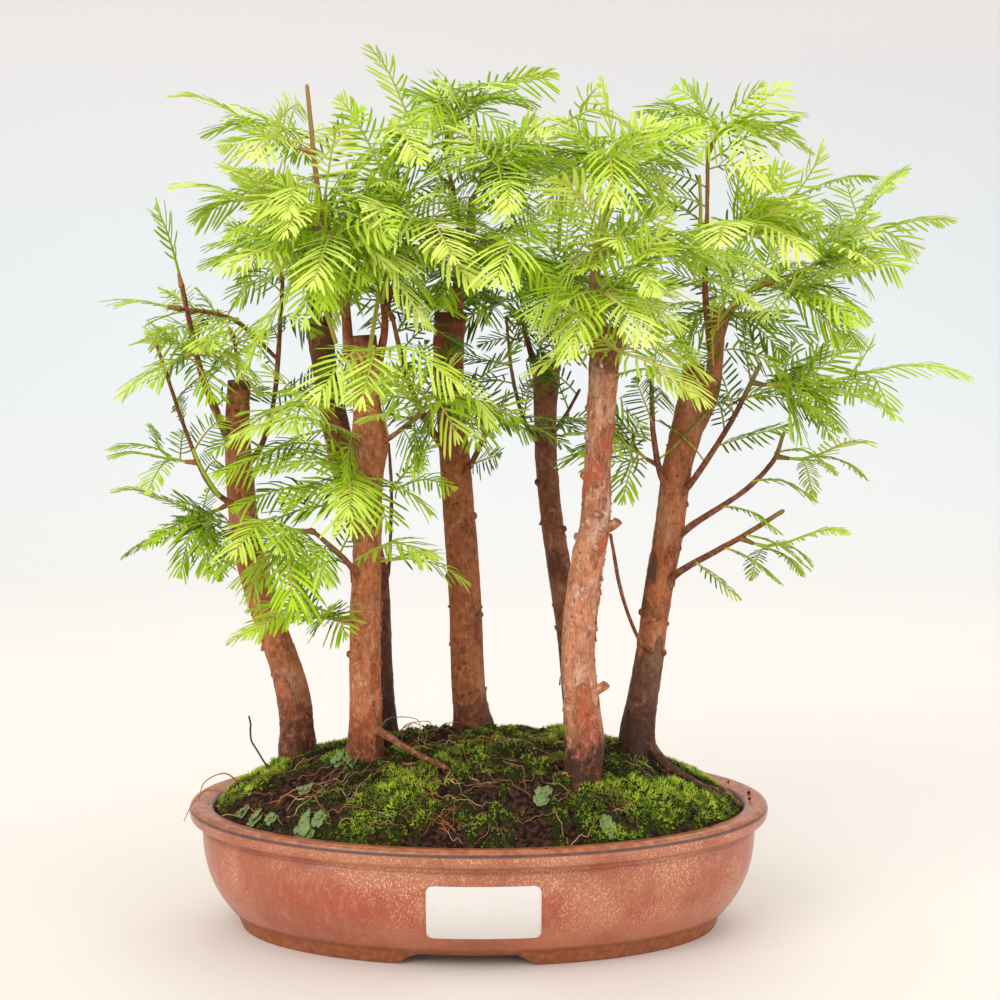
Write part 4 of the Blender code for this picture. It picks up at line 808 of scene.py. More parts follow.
# The trees are young dawn redwoods, cut back hard: straight trunks with pruned flat tops, thin
# limbs from near the top and the stubs of old cuts, under thin reddish bark that peels in
# fibres. Each part is given by points (x, y, z, diameter), with heights and bearings of stubs.
TREES = {
    "far_left": {
        "trunk": ((-86, 22, 52, 15), (-88, 23, 74, 18), (-88, 24, 88, 16.4), (-90, 24, 107, 15.6),
            (-98, 24, 133, 14), (-105, 24, 155, 14.6), (-110, 24, 175, 13.8), (-113, 24, 205, 13),
            (-114, 24, 235, 11.6), (-113, 24, 255, 10.6)),
        "limbs": {
            "a1": ((-114, 22, 220, 7), (-119, 19, 231, 6), (-129, 14, 259, 5), (-134, 11, 285, 4),
                (-137, 10, 301, 3)),
            "a2": ((-112, 20, 194, 5), (-125, 12, 206, 3.8), (-135, 8, 230, 3), (-148, 4, 273, 2.4)),
            "a3": ((-112, 28, 212, 5), (-103, 33, 226, 4.2), (-97, 35, 252, 3.6), (-93, 36, 303, 3)),
            "a4": ((-95.5, 35.5, 264, 3), (-110, 20, 281, 3), (-121, 12, 287, 2.8), (-138, 4, 290, 2.6)),
            "a5": ((-113, 24, 252, 3), (-114, 25, 266, 2.6), (-116, 27, 277, 2.4)),
        },
        "knobs": ((142, 200), (186, 10)),
    },
    "front_left": {
        "trunk": ((-52, -15, 58, 15), (-52, -15, 80, 16.5), (-52, -15, 96, 15), (-52, -15, 147, 14.7),
            (-51, -15, 176, 13.4), (-50, -15, 212, 13.4), (-49, -15, 230, 16.6), (-50, -15, 247, 12.6),
            (-52, -15, 278, 12.3)),
        "limbs": {
            "b1": ((-58, -15, 268, 7.5), (-60, -15, 296, 6), (-64, -17, 318, 4.6), (-70, -19, 337, 4),
                (-75, -21, 388, 2.6)),
            "b2": ((-46, -14, 262, 6.4), (-42, -13, 282, 5), (-44, -13, 300, 4), (-51, -17, 316, 3)),
            "b2b": ((-42, -13, 288, 4), (-37, -13, 304, 3.2), (-34, -15, 318, 2.8)),
            "b2c": ((-42, -12, 286, 4), (-41, -8, 304, 3.2), (-40, -5, 326, 2.6)),
            "b3a": ((-46, -17, 229, 5), (-38, -23, 234, 3.8), (-27, -31, 243, 3)),
            "b3b": ((-52, -18, 227, 5), (-60, -27, 236, 3.8), (-66, -32, 247, 3)),
            "b4": ((-53, -18, 166, 5.4), (-60, -26, 178, 4), (-74, -36, 193, 3)),
            "b5": ((-53, -17, 146, 6), (-61, -23, 150, 4)),
            "root": ((-48, -18, 98, 8), (-40, -25, 95, 5.6), (-28, -33, 90, 4.6), (-14, -41, 85.5, 3.6)),
        },
        "knobs": ((131, 200), (198, 20), (112, 330)),
    },
    "hidden_left": {
        "trunk": ((-47, 40, 55, 13), (-48, 40, 76, 15), (-49, 40, 112, 13.5), (-51, 40, 158, 13.4),
            (-60, 40, 195, 13), (-68, 40, 227, 13.4), (-74, 41, 260, 12), (-77, 42, 284, 11)),
        "limbs": {
            "c1": ((-77, 42, 278, 7), (-82, 47, 300, 4.4), (-84, 51, 318, 3)),
            "c2": ((-76, 42, 274, 6), (-68, 49, 300, 4), (-64, 53, 320, 2.8)),
            "c3": ((-50, 38, 148, 4), (-44, 33, 162, 2.8), (-42, 32, 198, 2.4), (-43, 32, 224, 2)),
        },
        "knobs": (),
    },
    "centre_back": {
        "trunk": ((-2, 18, 66, 16), (-3, 18, 87, 20), (-4, 18, 97, 17), (-5.5, 18, 113, 15.8),
            (-7, 18, 156, 15.2), (-10, 18, 201, 14.4), (-13, 18, 245, 13.2), (-14, 18, 270, 13.5),
            (-13, 18, 287, 15)),
        "limbs": {
            "d1": ((-13, 16, 220, 7), (-22, 14, 233, 5), (-32, 13, 254, 4.4), (-40, 12, 286, 3.2)),
            "d2": ((-8, 14, 210, 5), (-2, 10, 220, 4), (3, 8, 232, 3.2)),
            "d3": ((-12, 18, 276, 9), (-9, 18, 300, 7), (-4, 18, 322, 5), (-3, 18, 340, 3.4)),
            "d4": ((-6, 18, 314, 5), (-11, 17, 340, 3.4), (-16, 16, 364, 2.6)),
        },
        "knobs": ((142, 20), (161, 170), (190, 15), (205, 185), (127, 260)),
    },
    "back_right": {
        "trunk": ((50, 48, 48, 11), (49, 48, 70, 13), (46, 49, 100, 11.6), (43, 50, 134, 11.4),
            (39.5, 50, 158, 11.3), (36, 50, 182, 10.9), (33, 50, 206, 10.7), (32, 50, 232, 10.4),
            (32.5, 50, 252, 12.4), (32.5, 50, 264, 13)),
        "limbs": {
            "e1": ((31, 50, 254, 7), (25, 50, 267, 4.6), (20, 50, 286, 3)),
            "e2": ((33, 50, 256, 7), (38, 51, 266, 5), (37, 52, 282, 3)),
            "e3": ((34, 50, 258, 6), (42, 50, 268, 4), (48, 52, 280, 2.8)),
            "e4": ((32, 47, 218, 4.6), (22, 45, 234, 3), (16, 44, 256, 2.6), (13, 44, 284, 2.2)),
            "e5": ((34, 47, 226, 4), (41, 45, 236, 2.8), (48, 43, 249, 2.2)),
        },
        "knobs": ((180, 330), (203, 200)),
    },
    "front_right": {
        "trunk": ((46, -35, 52, 13), (46.5, -35, 76, 15), (48, -35, 95, 18), (47, -35, 112, 16),
            (45, -35, 134, 14.6), (46.5, -35, 158, 14.6), (49.5, -35, 180, 14.2), (52.5, -35, 197, 13.4),
            (53.5, -35, 226, 12.4), (56, -35, 262, 13.2), (57, -35, 283, 15.5)),
        "limbs": {
            "f1": ((55, -35, 274, 9), (52, -35, 294, 7), (52, -35, 308, 5), (58, -35, 338, 3)),
            "f2": ((54, -36, 192, 6), (61, -38, 196, 4.6), (65, -39, 199, 4)),
            "f3": ((49, -36, 118, 6), (56, -38, 122, 4.2), (60, -39, 127, 3)),
        },
        "knobs": ((163, 340), (216, 190), (246, 200), (188, 165)),
    },
    "far_right": {
        "trunk": ((73, 3, 54, 15), (74.5, 3, 76, 20), (75, 3, 92, 16.4), (78, 3, 112, 14),
            (80.5, 3, 130, 13), (84, 3, 158, 13.4), (88, 3, 182, 13.4), (92, 3, 216, 13),
            (96, 3, 234, 14), (98, 3, 250, 11.6), (98.7, 3, 264, 10)),
        "limbs": {
            "g0": ((96, 3, 228, 9), (104, 3, 242, 8.6), (108, 3, 256, 8.4), (111, 3, 290, 6)),
            "gup": ((108, 3, 264, 6), (104, 2, 296, 4.4), (104, 0, 330, 3.4), (104, -2, 362, 2.6)),
            "gup2": ((110, 3, 272, 6), (117, 1, 292, 4.2), (130, -2, 301, 3.4), (145, -5, 306, 2.8)),
            "g1": ((90, 0, 206, 5.4), (84, -4, 214, 4.4), (80, -6, 235, 3.6), (79, -7, 262, 3)),
            "g2": ((92, 0, 202, 6), (100, -4, 213, 4.6), (115, -8, 238, 3.6), (128, -10, 265, 3)),
            "g3": ((88, 1, 178, 6), (98, 0, 189, 4.8), (122, -3, 206, 3.8), (135, -5, 220, 3.2),
                (140, -5, 233, 2.6)),
            "g4": ((85, 0, 160, 6), (95, -4, 170, 4.8), (118, -9, 184, 3.8), (139, -12, 198, 3.2)),
            "g5": ((81, -2, 130, 4), (74, -6, 138, 2.8), (66, -7, 160, 2.4), (61, -7, 186, 2)),
            "root": ((79, -1, 88, 10), (87, -7, 78.5, 8), (98, -12, 72.5, 5.6), (109, -17, 66.5, 4)),
        },
        "knobs": ((128, 350), (147, 190), (198, 340)),
    },
}
# Each spray of shoots: its tree, the limb it stands on (or the trunk), how far up that limb,
# and the points that the tips of its leading shoots reach.
SPRAY_ROWS = {
    "far_left": (
        ("a1", 1.0, ((-145, 0, 333), (-137, 34, 346), (-156, 10, 318))), ("a4", 1.0, ((-160, -8, 293),)),
        ("a1", 0.6, ((-159, -20, 253), (-113, -60, 277))),
        ("a2", 0.5, ((-166, -10, 223), (-160, 50, 231), (-150, -35, 240))),
        ("a2", 0.12, ((-167, 0, 206), (-142, -30, 187))),
        ("trunk", 0.7, ((-116, -50, 178), (-150, 70, 183))),
        ("a3", 1.0, ((-112, 70, 338), (-128, 45, 318), (-88, 10, 330))), ("a5", 1.0, ((-144, 80, 277),)),
    ),
    "front_left": (
        ("b1", 0.86, ((-128, -38, 383), (-84, 40, 384), (-102, -72, 372))),
        ("b1", 0.6, ((-129, -30, 345), (-109, 50, 354), (-108, -62, 350))),
        ("b1", 0.5, ((-103, -72, 310),)), ("b1", 0.68, ((-77, -95, 325), (-58, -70, 367))),
        ("b2b", 1.0, ((-10, -85, 315), (-21, -58, 340), (8, -30, 318))),
        ("b2c", 1.0, ((-59, -15, 381), (-37, 32, 377), (-25, -25, 372))),
        ("b2", 1.0, ((-112, -60, 277), (-66, -92, 297), (-38, -88, 292))),
        ("b3a", 1.0, ((-39, -95, 264), (-4, -68, 250))),
        ("b3b", 1.0, ((-105, -50, 236), (-112, -75, 224), (-84, -85, 245))),
        ("trunk", 0.66, ((-53, -88, 209),)), ("b4", 1.0, ((-112, -62, 186), (-77, -70, 163))),
        ("b5", 1.0, ((-107, -45, 146),)), ("trunk", 0.5, ((-21, -55, 184),)),
    ),
    "hidden_left": (
        ("c1", 1.0, ((-120, 95, 301), (-104, 85, 341))), ("c2", 1.0, ((-50, 95, 326), (-76, 102, 280))),
    ),
    "centre_back": (
        ("d4", 1.0, ((31, -5, 395), (-4, 50, 389), (8, -48, 386))), ("d4", 0.6, ((-46, -12, 404),)),
        ("d3", 1.0, ((13, -85, 331), (34, -60, 359), (28, 60, 350))),
        ("d3", 0.7, ((17, -75, 304), (-21, -50, 319))), ("d3", 0.5, ((-25, 100, 311), (21, 95, 326))),
        ("d1", 1.0, ((-63, 60, 307),)), ("trunk", 0.78, ((0, -45, 239),)), ("d2", 1.0, ((39, -5, 232),)),
    ),
    "back_right": (
        ("e1", 1.0, ((-5, 95, 291), (15, 20, 256))),
        ("e2", 1.0, ((46, 100, 341), (77, 104, 316), (52, 22, 322))),
        ("e3", 1.0, ((91, 95, 276), (84, 40, 290))),
    ),
    "front_right": (
        ("f1", 1.0, ((55, -30, 387), (76, 42, 368), (92, -62, 366), (34, -58, 372))),
        ("f1", 0.75, ((120, -87, 308), (34, -82, 346), (82, -88, 330))),
        ("f1", 0.5, ((68, -105, 282), (38, -100, 287))),
        ("trunk", 0.97, ((98, -85, 266), (24, -67, 266))),
    ),
    "far_right": (
        ("gup", 1.0, ((138, -25, 376), (95, 42, 372), (120, -58, 352))),
        ("gup", 0.6, ((182, 25, 350), (91, -92, 321), (140, -62, 330))),
        ("gup2", 1.0, ((212, 0, 330), (206, 40, 352), (184, -28, 348))),
        ("gup2", 0.7, ((183, -32, 310), (166, -52, 287))),
        ("g0", 0.9, ((161, 90, 309), (112, 100, 316))),
        ("g2", 0.9, ((217, -20, 262), (182, -42, 246), (172, 18, 272))),
        ("g3", 0.8, ((172, -40, 232), (168, 22, 216))), ("g4", 0.7, ((163, -38, 192), (156, 25, 172))),
        ("g1", 0.4, ((59, -27, 229), (77, 42, 235))),
    ),
}
SPRAYS = [(tree, *row) for tree, rows in SPRAY_ROWS.items() for row in rows]


def bark_bar(stations, step, sides, rough, base=None, top="cut", seed=0):
    """A bar with bark, carried along the curve through its stations. Its radius at a turn u and
    a run v is the station's, plus low swellings, ridges and fibres that run along the bar,
    flakes and pits, and buttresses that fade above the height base. Its ends are drawn in to a
    cut face or a point. Gives its points, faces and each point's relief."""
    stations = np.asarray(stations, float)
    length = np.linalg.norm(np.diff(stations[:, :3], axis=0), axis=1).sum()
    count = max(4, int(length / step) + 1)
    smooth = curve_through(stations, count)
    path, radius = smooth[:, :3], smooth[:, 3:] / 2
    ahead, normal, side = carried(path)
    u = np.linspace(0, 2 * math.pi, sides, endpoint=False)[None, :]
    v = np.linspace(0, length, count)[:, None]
    r = radius.mean()
    place = np.stack(np.broadcast_arrays(r * np.cos(u), r * np.sin(u), v), -1)
    swell = grain(place, (9, 9, 22), seed) - 0.5
    ridge = grain(place, (1.9, 1.9, 15), seed + 1) - 0.5
    fibre = grain(place, (0.8, 0.8, 6), seed + 2) - 0.5
    flake = ease(grain(place, (2.6, 2.6, 4.5), seed + 3), 0.60, 0.72)
    flake = flake * grain(place, (1.3, 1.3, 2.0), seed + 4)
    pit = -ease(grain(place, (1.4, 1.4, 1.8), seed + 5), 0.76, 0.86)
    relief = rough * (0.9 * ridge + 0.55 * fibre + 0.7 * flake + 0.6 * pit)
    form = 1.1 * swell * min(1.0, r / 6)
    if base is not None:
        low = np.exp(-np.maximum(path[:, 2:] - base, 0.0) / 9.0)
        form = form + low * 1.2 * np.maximum(np.sin(3 * u + seed) + 0.6 * np.sin(5 * u + 2 * seed), -0.2)
    ring = np.cos(u)[..., None] * normal[:, None] + np.sin(u)[..., None] * side[:, None]
    points = path[:, None] + (radius + relief + form)[..., None] * ring
    ends = ((0.8, 0.6), (0.45, 1.1), (0.04, 1.3))
    if top == "cut":
        ends = ((0.92, 0.4), (0.7, 0.15), (0.35, 0.35), (0.04, 0.3))
    first = np.array([path[0] + (points[0] - path[0]) * share for share in (0.04, 0.7)])
    last = np.array([path[-1] + (points[-1] - path[-1]) * share + ahead[-1] * out for share, out in ends])
    rows = np.concatenate([first, points, last])
    dark = np.full((len(ends), sides), -0.45 if top == "cut" else 0.0)
    relief = np.concatenate([relief[:1], relief[:1], relief, dark])
    return rows.reshape(-1, 3), capped(len(rows), sides), relief.ravel() / max(rough, 0.01)


def stub(foot, out, radius, seed):
    """The stub of a cut twig: a short rough bar, widest at its foot."""
    taper = ((0, 3.6), (0.5, 2.9), (1.0, 2.2), (1.45, 1.5))
    stations = [(*(foot + out * radius * run), radius * wide) for run, wide in taper]
    points, faces, relief = bark_bar(stations, 0.5, 11, 0.7, None, "cut", seed)
    return points, faces, np.minimum(relief, 0.3) - 0.35


SPUR_LENGTH = 5.0
SPUR_DIAMETERS = (3.5, 2.9)


def limb_path(tree, limb):
    """A limb's stations (x, y, z, diameter); the trunk counts as a limb."""
    return np.array(TREES[tree]["trunk"] if limb == "trunk" else TREES[tree]["limbs"][limb], float)


def along(stations, share):
    """The station at a share of the way along, counted in stations."""
    place = share * (len(stations) - 1)
    i = min(int(place), len(stations) - 2)
    return stations[i] + (stations[i + 1] - stations[i]) * (place - i)


def spur_of(spray):
    """Where a spray's green stem starts: its foot, the spur's tip and the way it points."""
    tree, limb, share, reaches = spray
    stations = limb_path(tree, limb)
    station = along(stations, share)
    foot = station[:3]
    aim = unit(np.mean(np.array(reaches, float), axis=0) - foot)
    if share == 1.0:
        ahead = unit(stations[-1, :3] - stations[-2, :3])
        foot = foot - ahead * 1.5
        way = unit(ahead + 0.8 * aim)
        return foot, foot + way * (SPUR_LENGTH + 1.0), way
    ahead = along(stations, min(share + 0.05, 1.0)) - along(stations, max(share - 0.05, 0.0))
    ahead = unit(ahead[:3])
    way = unit(aim - ahead * np.dot(aim, ahead) * 0.5)
    return foot, foot + way * (station[3] / 2 + SPUR_LENGTH), way


rind, takes, gives = effect(
    "bark_surface",
    {"Cracks": "Color", "Face": "Color", "Flakes": "Color", "Bared": "Color", "Soil": "Float"},
    {"Colour": "Color", "Roughness": "Float", "Normal": "Vector"},
)
mix, span, both, noise = rind.mix, rind.span, rind.both, rind.noise
relief, level = rind.mark("relief"), rind.height()
cracks, face, flakes, bared = (takes[label] for label in ("Cracks", "Face", "Flakes", "Bared"))
cloud = noise(75.0, 4.0, (1.0, 1.0, 1.6), 0.6)
mottle = noise(430.0, 5.0, (1.0, 1.0, 1.25), 0.65)
fibre = noise(1200.0, 4.0, (1.0, 1.0, 6.0), 0.6)
# Where a layer has peeled off, most of all near the foot, and the dark line round such a place.
foot = both(span(level, 0.122, 0.084), rind.math("SUBTRACT", 1.0, rind.mark("root")))
peeled = rind.math("ADD", noise(46.0, 5.0, (1.0, 1.0, 2.0), 0.5), both(foot, 0.16))
window = span(peeled, 0.555, 0.590)
line = both(span(peeled, 0.540, 0.560), span(peeled, 0.590, 0.570))
tint = mix(span(cloud, 0.40, 0.60, 0.0, 0.5), face, mix(0.55, face, cracks))
tint = mix(both(window, 0.8), tint, bared)
tint = mix(span(noise(95.0, 3.0, (1.0, 1.0, 2.2)), 0.54, 0.68, 0.0, 0.6), tint, mix(0.6, tint, flakes))
tint = mix(span(mottle, 0.52, 0.68, 0.0, 0.55), tint, flakes)
tint = mix(span(mottle, 0.46, 0.30, 0.0, 0.65), tint, cracks)
tint = mix(span(fibre, 0.52, 0.70, 0.0, 0.25), tint, flakes)
tint = mix(span(fibre, 0.46, 0.32, 0.0, 0.32), tint, cracks)
tint = mix(both(window, 0.45), tint, bared)
tint = mix(both(rind.mark("root"), 0.42), tint, (0.36, 0.155, 0.08))
tint = mix(span(relief, -0.3, -0.9, 0.0, 0.55), tint, cracks)
tint = mix(span(relief, 0.55, 1.0, 0.0, 0.6), tint, flakes)
tint = mix(both(line, span(mottle, 0.38, 0.58, 0.0, 0.65)), tint, cracks)
# Round scars of old twigs: a dark ring round a pale middle.
scar = rind.math("ADD", rind.cells(50.0), span(noise(420.0, 4.0), 0.3, 0.7, -0.035, 0.035))
ring = both(span(scar, 0.050, 0.066), span(scar, 0.110, 0.088))
tint = mix(span(scar, 0.060, 0.045, 0.0, 0.25), tint, flakes)
tint = mix(both(ring, span(mottle, 0.40, 0.60, 0.15, 0.75)), tint, cracks)
wet = both(span(level, 0.114, 0.086), span(mottle, 0.62, 0.42, 0.30, 0.90))
tint = mix(wet, tint, cracks)
pit = noise(640.0, 2.0)
tint = mix(span(pit, 0.67, 0.72, 0.0, 0.85), tint, cracks)
tint = mix(both(rind.mark("limb"), span(mottle, 0.40, 0.58, 0.56, 0.30)), tint, cracks)
green_wood = mix(span(noise(30.0, 2.0), 0.42, 0.6), (0.27, 0.22, 0.045), (0.42, 0.20, 0.07))
tint = mix(both(rind.mark("young"), 0.9), tint, green_wood)
# Soil that clings to the foot, in streaks that thin out upwards.
splash = rind.math("ADD", noise(260.0, 6.0, (1.0, 1.0, 1.8), 0.72), span(level, 0.128, 0.078, -0.15, 0.13))
soiled = both(span(splash, 0.48, 0.64), both(span(level, 0.135, 0.112), takes["Soil"]))
rind.set(gives["Colour"], mix(soiled, tint, (0.050, 0.022, 0.013)))
rind.set(gives["Roughness"], span(window, 0.0, 1.0, 0.72, 0.52))
bumps = rind.math("ADD", both(mottle, 1.3), both(fibre, 0.7))
bumps = rind.math("SUBTRACT", bumps, rind.math("ADD", both(line, 0.35), both(ring, 0.2)))
rind.set(gives["Normal"], rind.relief(bumps, 0.0008, 0.8))
# Each trunk's colours: its bark's cracks, face and flakes, and the wood that is bared.
BARKS = {
    "far_left": ((0.060, 0.022, 0.012), (0.46, 0.150, 0.055), (0.58, 0.34, 0.21), (0.43, 0.110, 0.042)),
    "front_left": ((0.110, 0.032, 0.013), (0.60, 0.195, 0.075), (0.74, 0.46, 0.29), (0.48, 0.110, 0.030)),
    "hidden_left": ((0.040, 0.016, 0.009), (0.22, 0.075, 0.035), (0.38, 0.22, 0.14), (0.09, 0.03, 0.018)),
    "centre_back": ((0.060, 0.021, 0.010), (0.38, 0.115, 0.040), (0.52, 0.27, 0.15), (0.25, 0.060, 0.018)),
    "back_right": ((0.045, 0.017, 0.009), (0.25, 0.085, 0.036), (0.40, 0.22, 0.14), (0.10, 0.03, 0.016)),
    "front_right": ((0.13, 0.045, 0.022), (0.58, 0.230, 0.113), (0.80, 0.60, 0.48), (0.43, 0.095, 0.034)),
    "far_right": ((0.048, 0.018, 0.011), (0.42, 0.130, 0.050), (0.54, 0.30, 0.17), (0.095, 0.033, 0.022)),
}
# The two trunks with much soil on their feet, and how much.
SOILED = {"front_right": 0.9, "far_right": 0.85}
# How many loose flakes each trunk has.
PEELS = {
    "far_left": 30, "front_left": 45, "hidden_left": 18, "centre_back": 75, "back_right": 30,
    "front_right": 140, "far_right": 55,
}
# Where they lie in piles, so many each, round the scars of old twigs: height, spread, turn and
# its spread.
PILE = 14
PILES = {
    "front_right": ((202, 5, -1.3, 0.5), (200, 4, -0.6, 0.4), (165, 9, -0.15, 0.2), (150, 22, 0.0, 0.15)),
    "centre_back": ((187, 2.5, -0.8, 0.15), (146, 3, -0.8, 0.15), (122, 2.5, -1.8, 0.2)),
    "far_right": ((176, 2.5, -1.3, 0.2), (150, 3, -1.9, 0.2)),
}


def peels(trunk, count, piles, seed):
    """Curling flakes of bark, each two by three places over and under: a flake at a height and
    a bearing spans long by wide on the trunk's face, and lifts off it from one side and end to
    the other. Its rows are cut to random widths."""
    dice = np.random.RandomState(seed)
    height = dice.uniform(trunk[2, 2] + 4, trunk[-1, 2] - 3, count)
    turn = dice.uniform(-0.35, 1.35, count) * -math.pi
    for number, (middle, spread, bearing, swing) in enumerate(piles):
        share = slice(PILE * number, PILE * number + PILE)
        height[share], turn[share] = dice.normal(middle, spread, PILE), dice.normal(bearing, swing, PILE)
    cx, cy, wide = (np.interp(height, trunk[:, 2], trunk[:, i]) for i in (0, 1, 3))
    out = np.stack([np.cos(turn), np.sin(turn), np.zeros(count)], -1)
    side = np.stack([-np.sin(turn), np.cos(turn), np.zeros(count)], -1)
    side = side * dice.choice((-1, 1), count)[:, None]
    foot = np.stack([cx, cy, height], -1) + out * (wide / 2)[:, None]
    long, broad = dice.uniform(1.6, 5.5, count), dice.uniform(0.8, 2.6, count)
    lift = dice.uniform(0.1, 1.1, count) * np.sqrt(long / 5)
    run, over = np.meshgrid([-1.0, 0.1, 1.0], [0.0, 1.0], indexing="ij")
    run, over = run.ravel(), over.ravel()
    broad = broad[:, None] * np.repeat(dice.uniform(0.35, 1.1, (count, 3)), 2, axis=1)
    up = UP * dice.choice((-1, 1), count)[:, None]
    raised = 0.12 + lift[:, None] * over * (0.45 + 0.55 * run)
    shifted = np.repeat(dice.normal(0, 0.35, (count, 3)), 2, axis=1)
    top = foot[:, None] + up[:, None] * (run * long[:, None] / 2)[..., None]
    top = top + side[:, None] * (over * broad + shifted)[..., None] + out[:, None] * raised[..., None]
    points = np.concatenate([top, top - out[:, None] * 0.3], axis=1)
    plate = np.array([(0, 1, 3, 2), (2, 3, 5, 4), (6, 8, 9, 7), (8, 10, 11, 9)])
    edge = np.array([0, 1, 3, 5, 4, 2])
    rim = np.stack([edge, edge + 6, np.roll(edge, -1) + 6, np.roll(edge, -1)], -1)
    faces = np.concatenate([plate, rim])[None] + 12 * np.arange(count)[:, None, None]
    mirrored = (np.cross(side, up) * out).sum(-1) < 0
    faces[mirrored] = faces[mirrored][..., ::-1]
    return points.reshape(-1, 3), [faces.reshape(-1, 4)], np.repeat(dice.uniform(-0.5, 0.95, count), 12)


def flagged(part, young=0.0, root=0.0, limb=0.0):
    """Marks at each of a part's points: how young its wood is, and whether it is root or limb."""
    count = len(part[0])
    marks = (np.asarray(mark, float) for mark in (young, root, limb))
    return np.column_stack([np.broadcast_to(mark, count) for mark in marks])


BARK_SLOTS = {"front_right": "bark_orange", "front_left": "bark_red_brown"}
# The height above which each limb is this year's wood, smooth and olive to orange.
YOUNG = {
    "b1": 308, "b2": 298, "b2b": 300, "b2c": 304, "b3a": 238, "b3b": 242, "b4": 186, "c1": 305,
    "c2": 305, "d1": 262, "d2": 226, "d3": 316, "d4": 326, "e1": 275, "e2": 272, "e3": 274,
    "e4": 250, "f1": 300, "gup": 312, "gup2": 292, "g2": 250, "g3": 222, "g4": 192,
}
# The height of the soil at each trunk.
SOIL_LINES = {
    "far_left": 74.0, "front_left": 84.0, "hidden_left": 80.0, "centre_back": 90.0,
    "back_right": 76.0, "front_right": 80.0, "far_right": 80.0,
}
# Stubs of old twigs that stand here and there on each trunk, besides those given with it.
MORE_STUBS = 7
for seed, (tree, wood) in enumerate(TREES.items()):
    parts = [bark_bar(wood["trunk"], 1.35, 52, 0.5, SOIL_LINES[tree], "cut", 10 * seed)]
    collar, top = (26.0, 284.0) if tree == "front_right" else (5.0, wood["trunk"][-1][2])
    flags = [flagged(parts[0], limb=1.5 * ease(parts[0][0][:, 2], top - collar, top - 0.6 * collar))]
    for order, (name, limb) in enumerate(wood["limbs"].items(), 1):
        is_root, is_stub, thin = name == "root", name in ("f2", "f3"), limb[0][3] < 8
        sides = 20 if limb[0][3] > 7 or is_root else 11
        slim = np.array(limb, float) * (1, 1, 1, 0.56 if is_root else 0.66 if thin else 0.92)
        if is_stub:
            slim = np.array([limb[0], limb[1], np.add(limb[1], (1.2, -0.5, 1.2, 0.3))], float)
        rough, end = 0.4 if is_root or is_stub else 0.26, "cut" if is_stub else "point"
        parts.append(bark_bar(slim, 1.8, sides, rough, None, end, 10 * seed + order))
        line = YOUNG.get(name, 900)
        fresh = ease(parts[-1][0][:, 2], line - 8, line + 12)
        flags.append(flagged(parts[-1], fresh, is_root, thin and not is_root and name[0] != "f"))
    trunk = np.array(wood["trunk"], float)
    dice = random.Random(seed)
    knobs = [(height, bearing, 1.7) for height, bearing in wood["knobs"]]
    for _ in range(MORE_STUBS):
        height = dice.uniform(trunk[2, 2] + 8, trunk[-1, 2] - 6)
        knobs.append((height, dice.uniform(0, 360), dice.uniform(0.65, 1.1)))
    for number, (height, bearing, size) in enumerate(knobs):
        centre = np.array([np.interp(height, trunk[:, 2], trunk[:, i]) for i in range(4)])
        turn = math.radians(bearing)
        out = unit(np.array([math.cos(turn), math.sin(turn), 0.25]))
        foot = np.array([centre[0], centre[1], height]) + out * (centre[3] / 2 - size * 0.9)
        parts.append(stub(foot, out, size, 10 * seed + number))
        flags.append(flagged(parts[-1]))
    parts.append(peels(trunk, PEELS[tree], PILES.get(tree, ()), 50 + seed))
    flags.append(flagged(parts[-1]))
    for number, spray in enumerate(SPRAYS):
        if spray[0] == tree:
            foot, tip, way = spur_of(spray)
            path = np.array([foot, (foot + tip) / 2, tip - way, tip])
            stations = np.column_stack([path, (3.2, 2.4, 2.0, 1.8)])
            parts.append(bark_bar(stations, 0.9, 9, 0.25, None, "cut", number))
            flags.append(flagged(parts[-1], 0.6))
    marks = dict(zip(("young", "root", "limb"), np.concatenate(flags).T))
    marks["relief"] = np.concatenate([part[2] for part in parts])
    points, faces = merged([part[:2] for part in parts])
    finish, colours = begun("bark_" + tree), dict(zip(("Cracks", "Face", "Flakes", "Bared"), BARKS[tree]))
    look = placed(finish, "bark_surface", **colours, Soil=SOILED.get(tree, 0.3))
    bark = finished(finish, *look, Specular_IOR_Level=0.2)
    slot = BARK_SLOTS.get(tree, "bark_dark_brown")
    shown("wood_" + tree, points, faces, bark, ["trunk_" + tree], slot, marks)


# The leaves are this year's growth: soft flat needles in pairs along thin green shoots, bright
# yellow-green where they are young. A shoot that would cross wood or another is turned, lifted
# or shortened a little, by the first of these that frees it (degrees, degrees, scale).
LEADER_TRIES = (
    (0, 0, 1), (6, 0, 1), (-6, 0, 1), (0, 6, 1), (0, -6, 1), (12, 0, 1), (-12, 0, 1), (0, 12, 0.95),
    (0, -12, 0.95), (18, 6, 0.9), (-18, 6, 0.9), (18, -6, 0.9), (-18, -6, 0.9), (0, 0, 0.8),
    (12, 12, 0.8), (-12, 12, 0.8), (0, 0, 0.65),
)
LATERAL_TRIES = (
    (0, 0, 1), (10, 0, 1), (-10, 0, 1), (0, 14, 1), (0, -14, 1), (20, 8, 0.9), (-18, 8, 0.9),
    (20, -10, 0.9), (-18, -10, 0.9), (0, 28, 0.9), (0, -28, 0.9), (32, 0, 0.85), (0, 0, 0.75),
    (20, 30, 0.85), (-18, 30, 0.85), (20, -30, 0.85), (-18, -30, 0.85), (45, 10, 0.8), (45, -20, 0.8),
    (10, 45, 0.8), (30, 45, 0.75), (10, -45, 0.75),
)
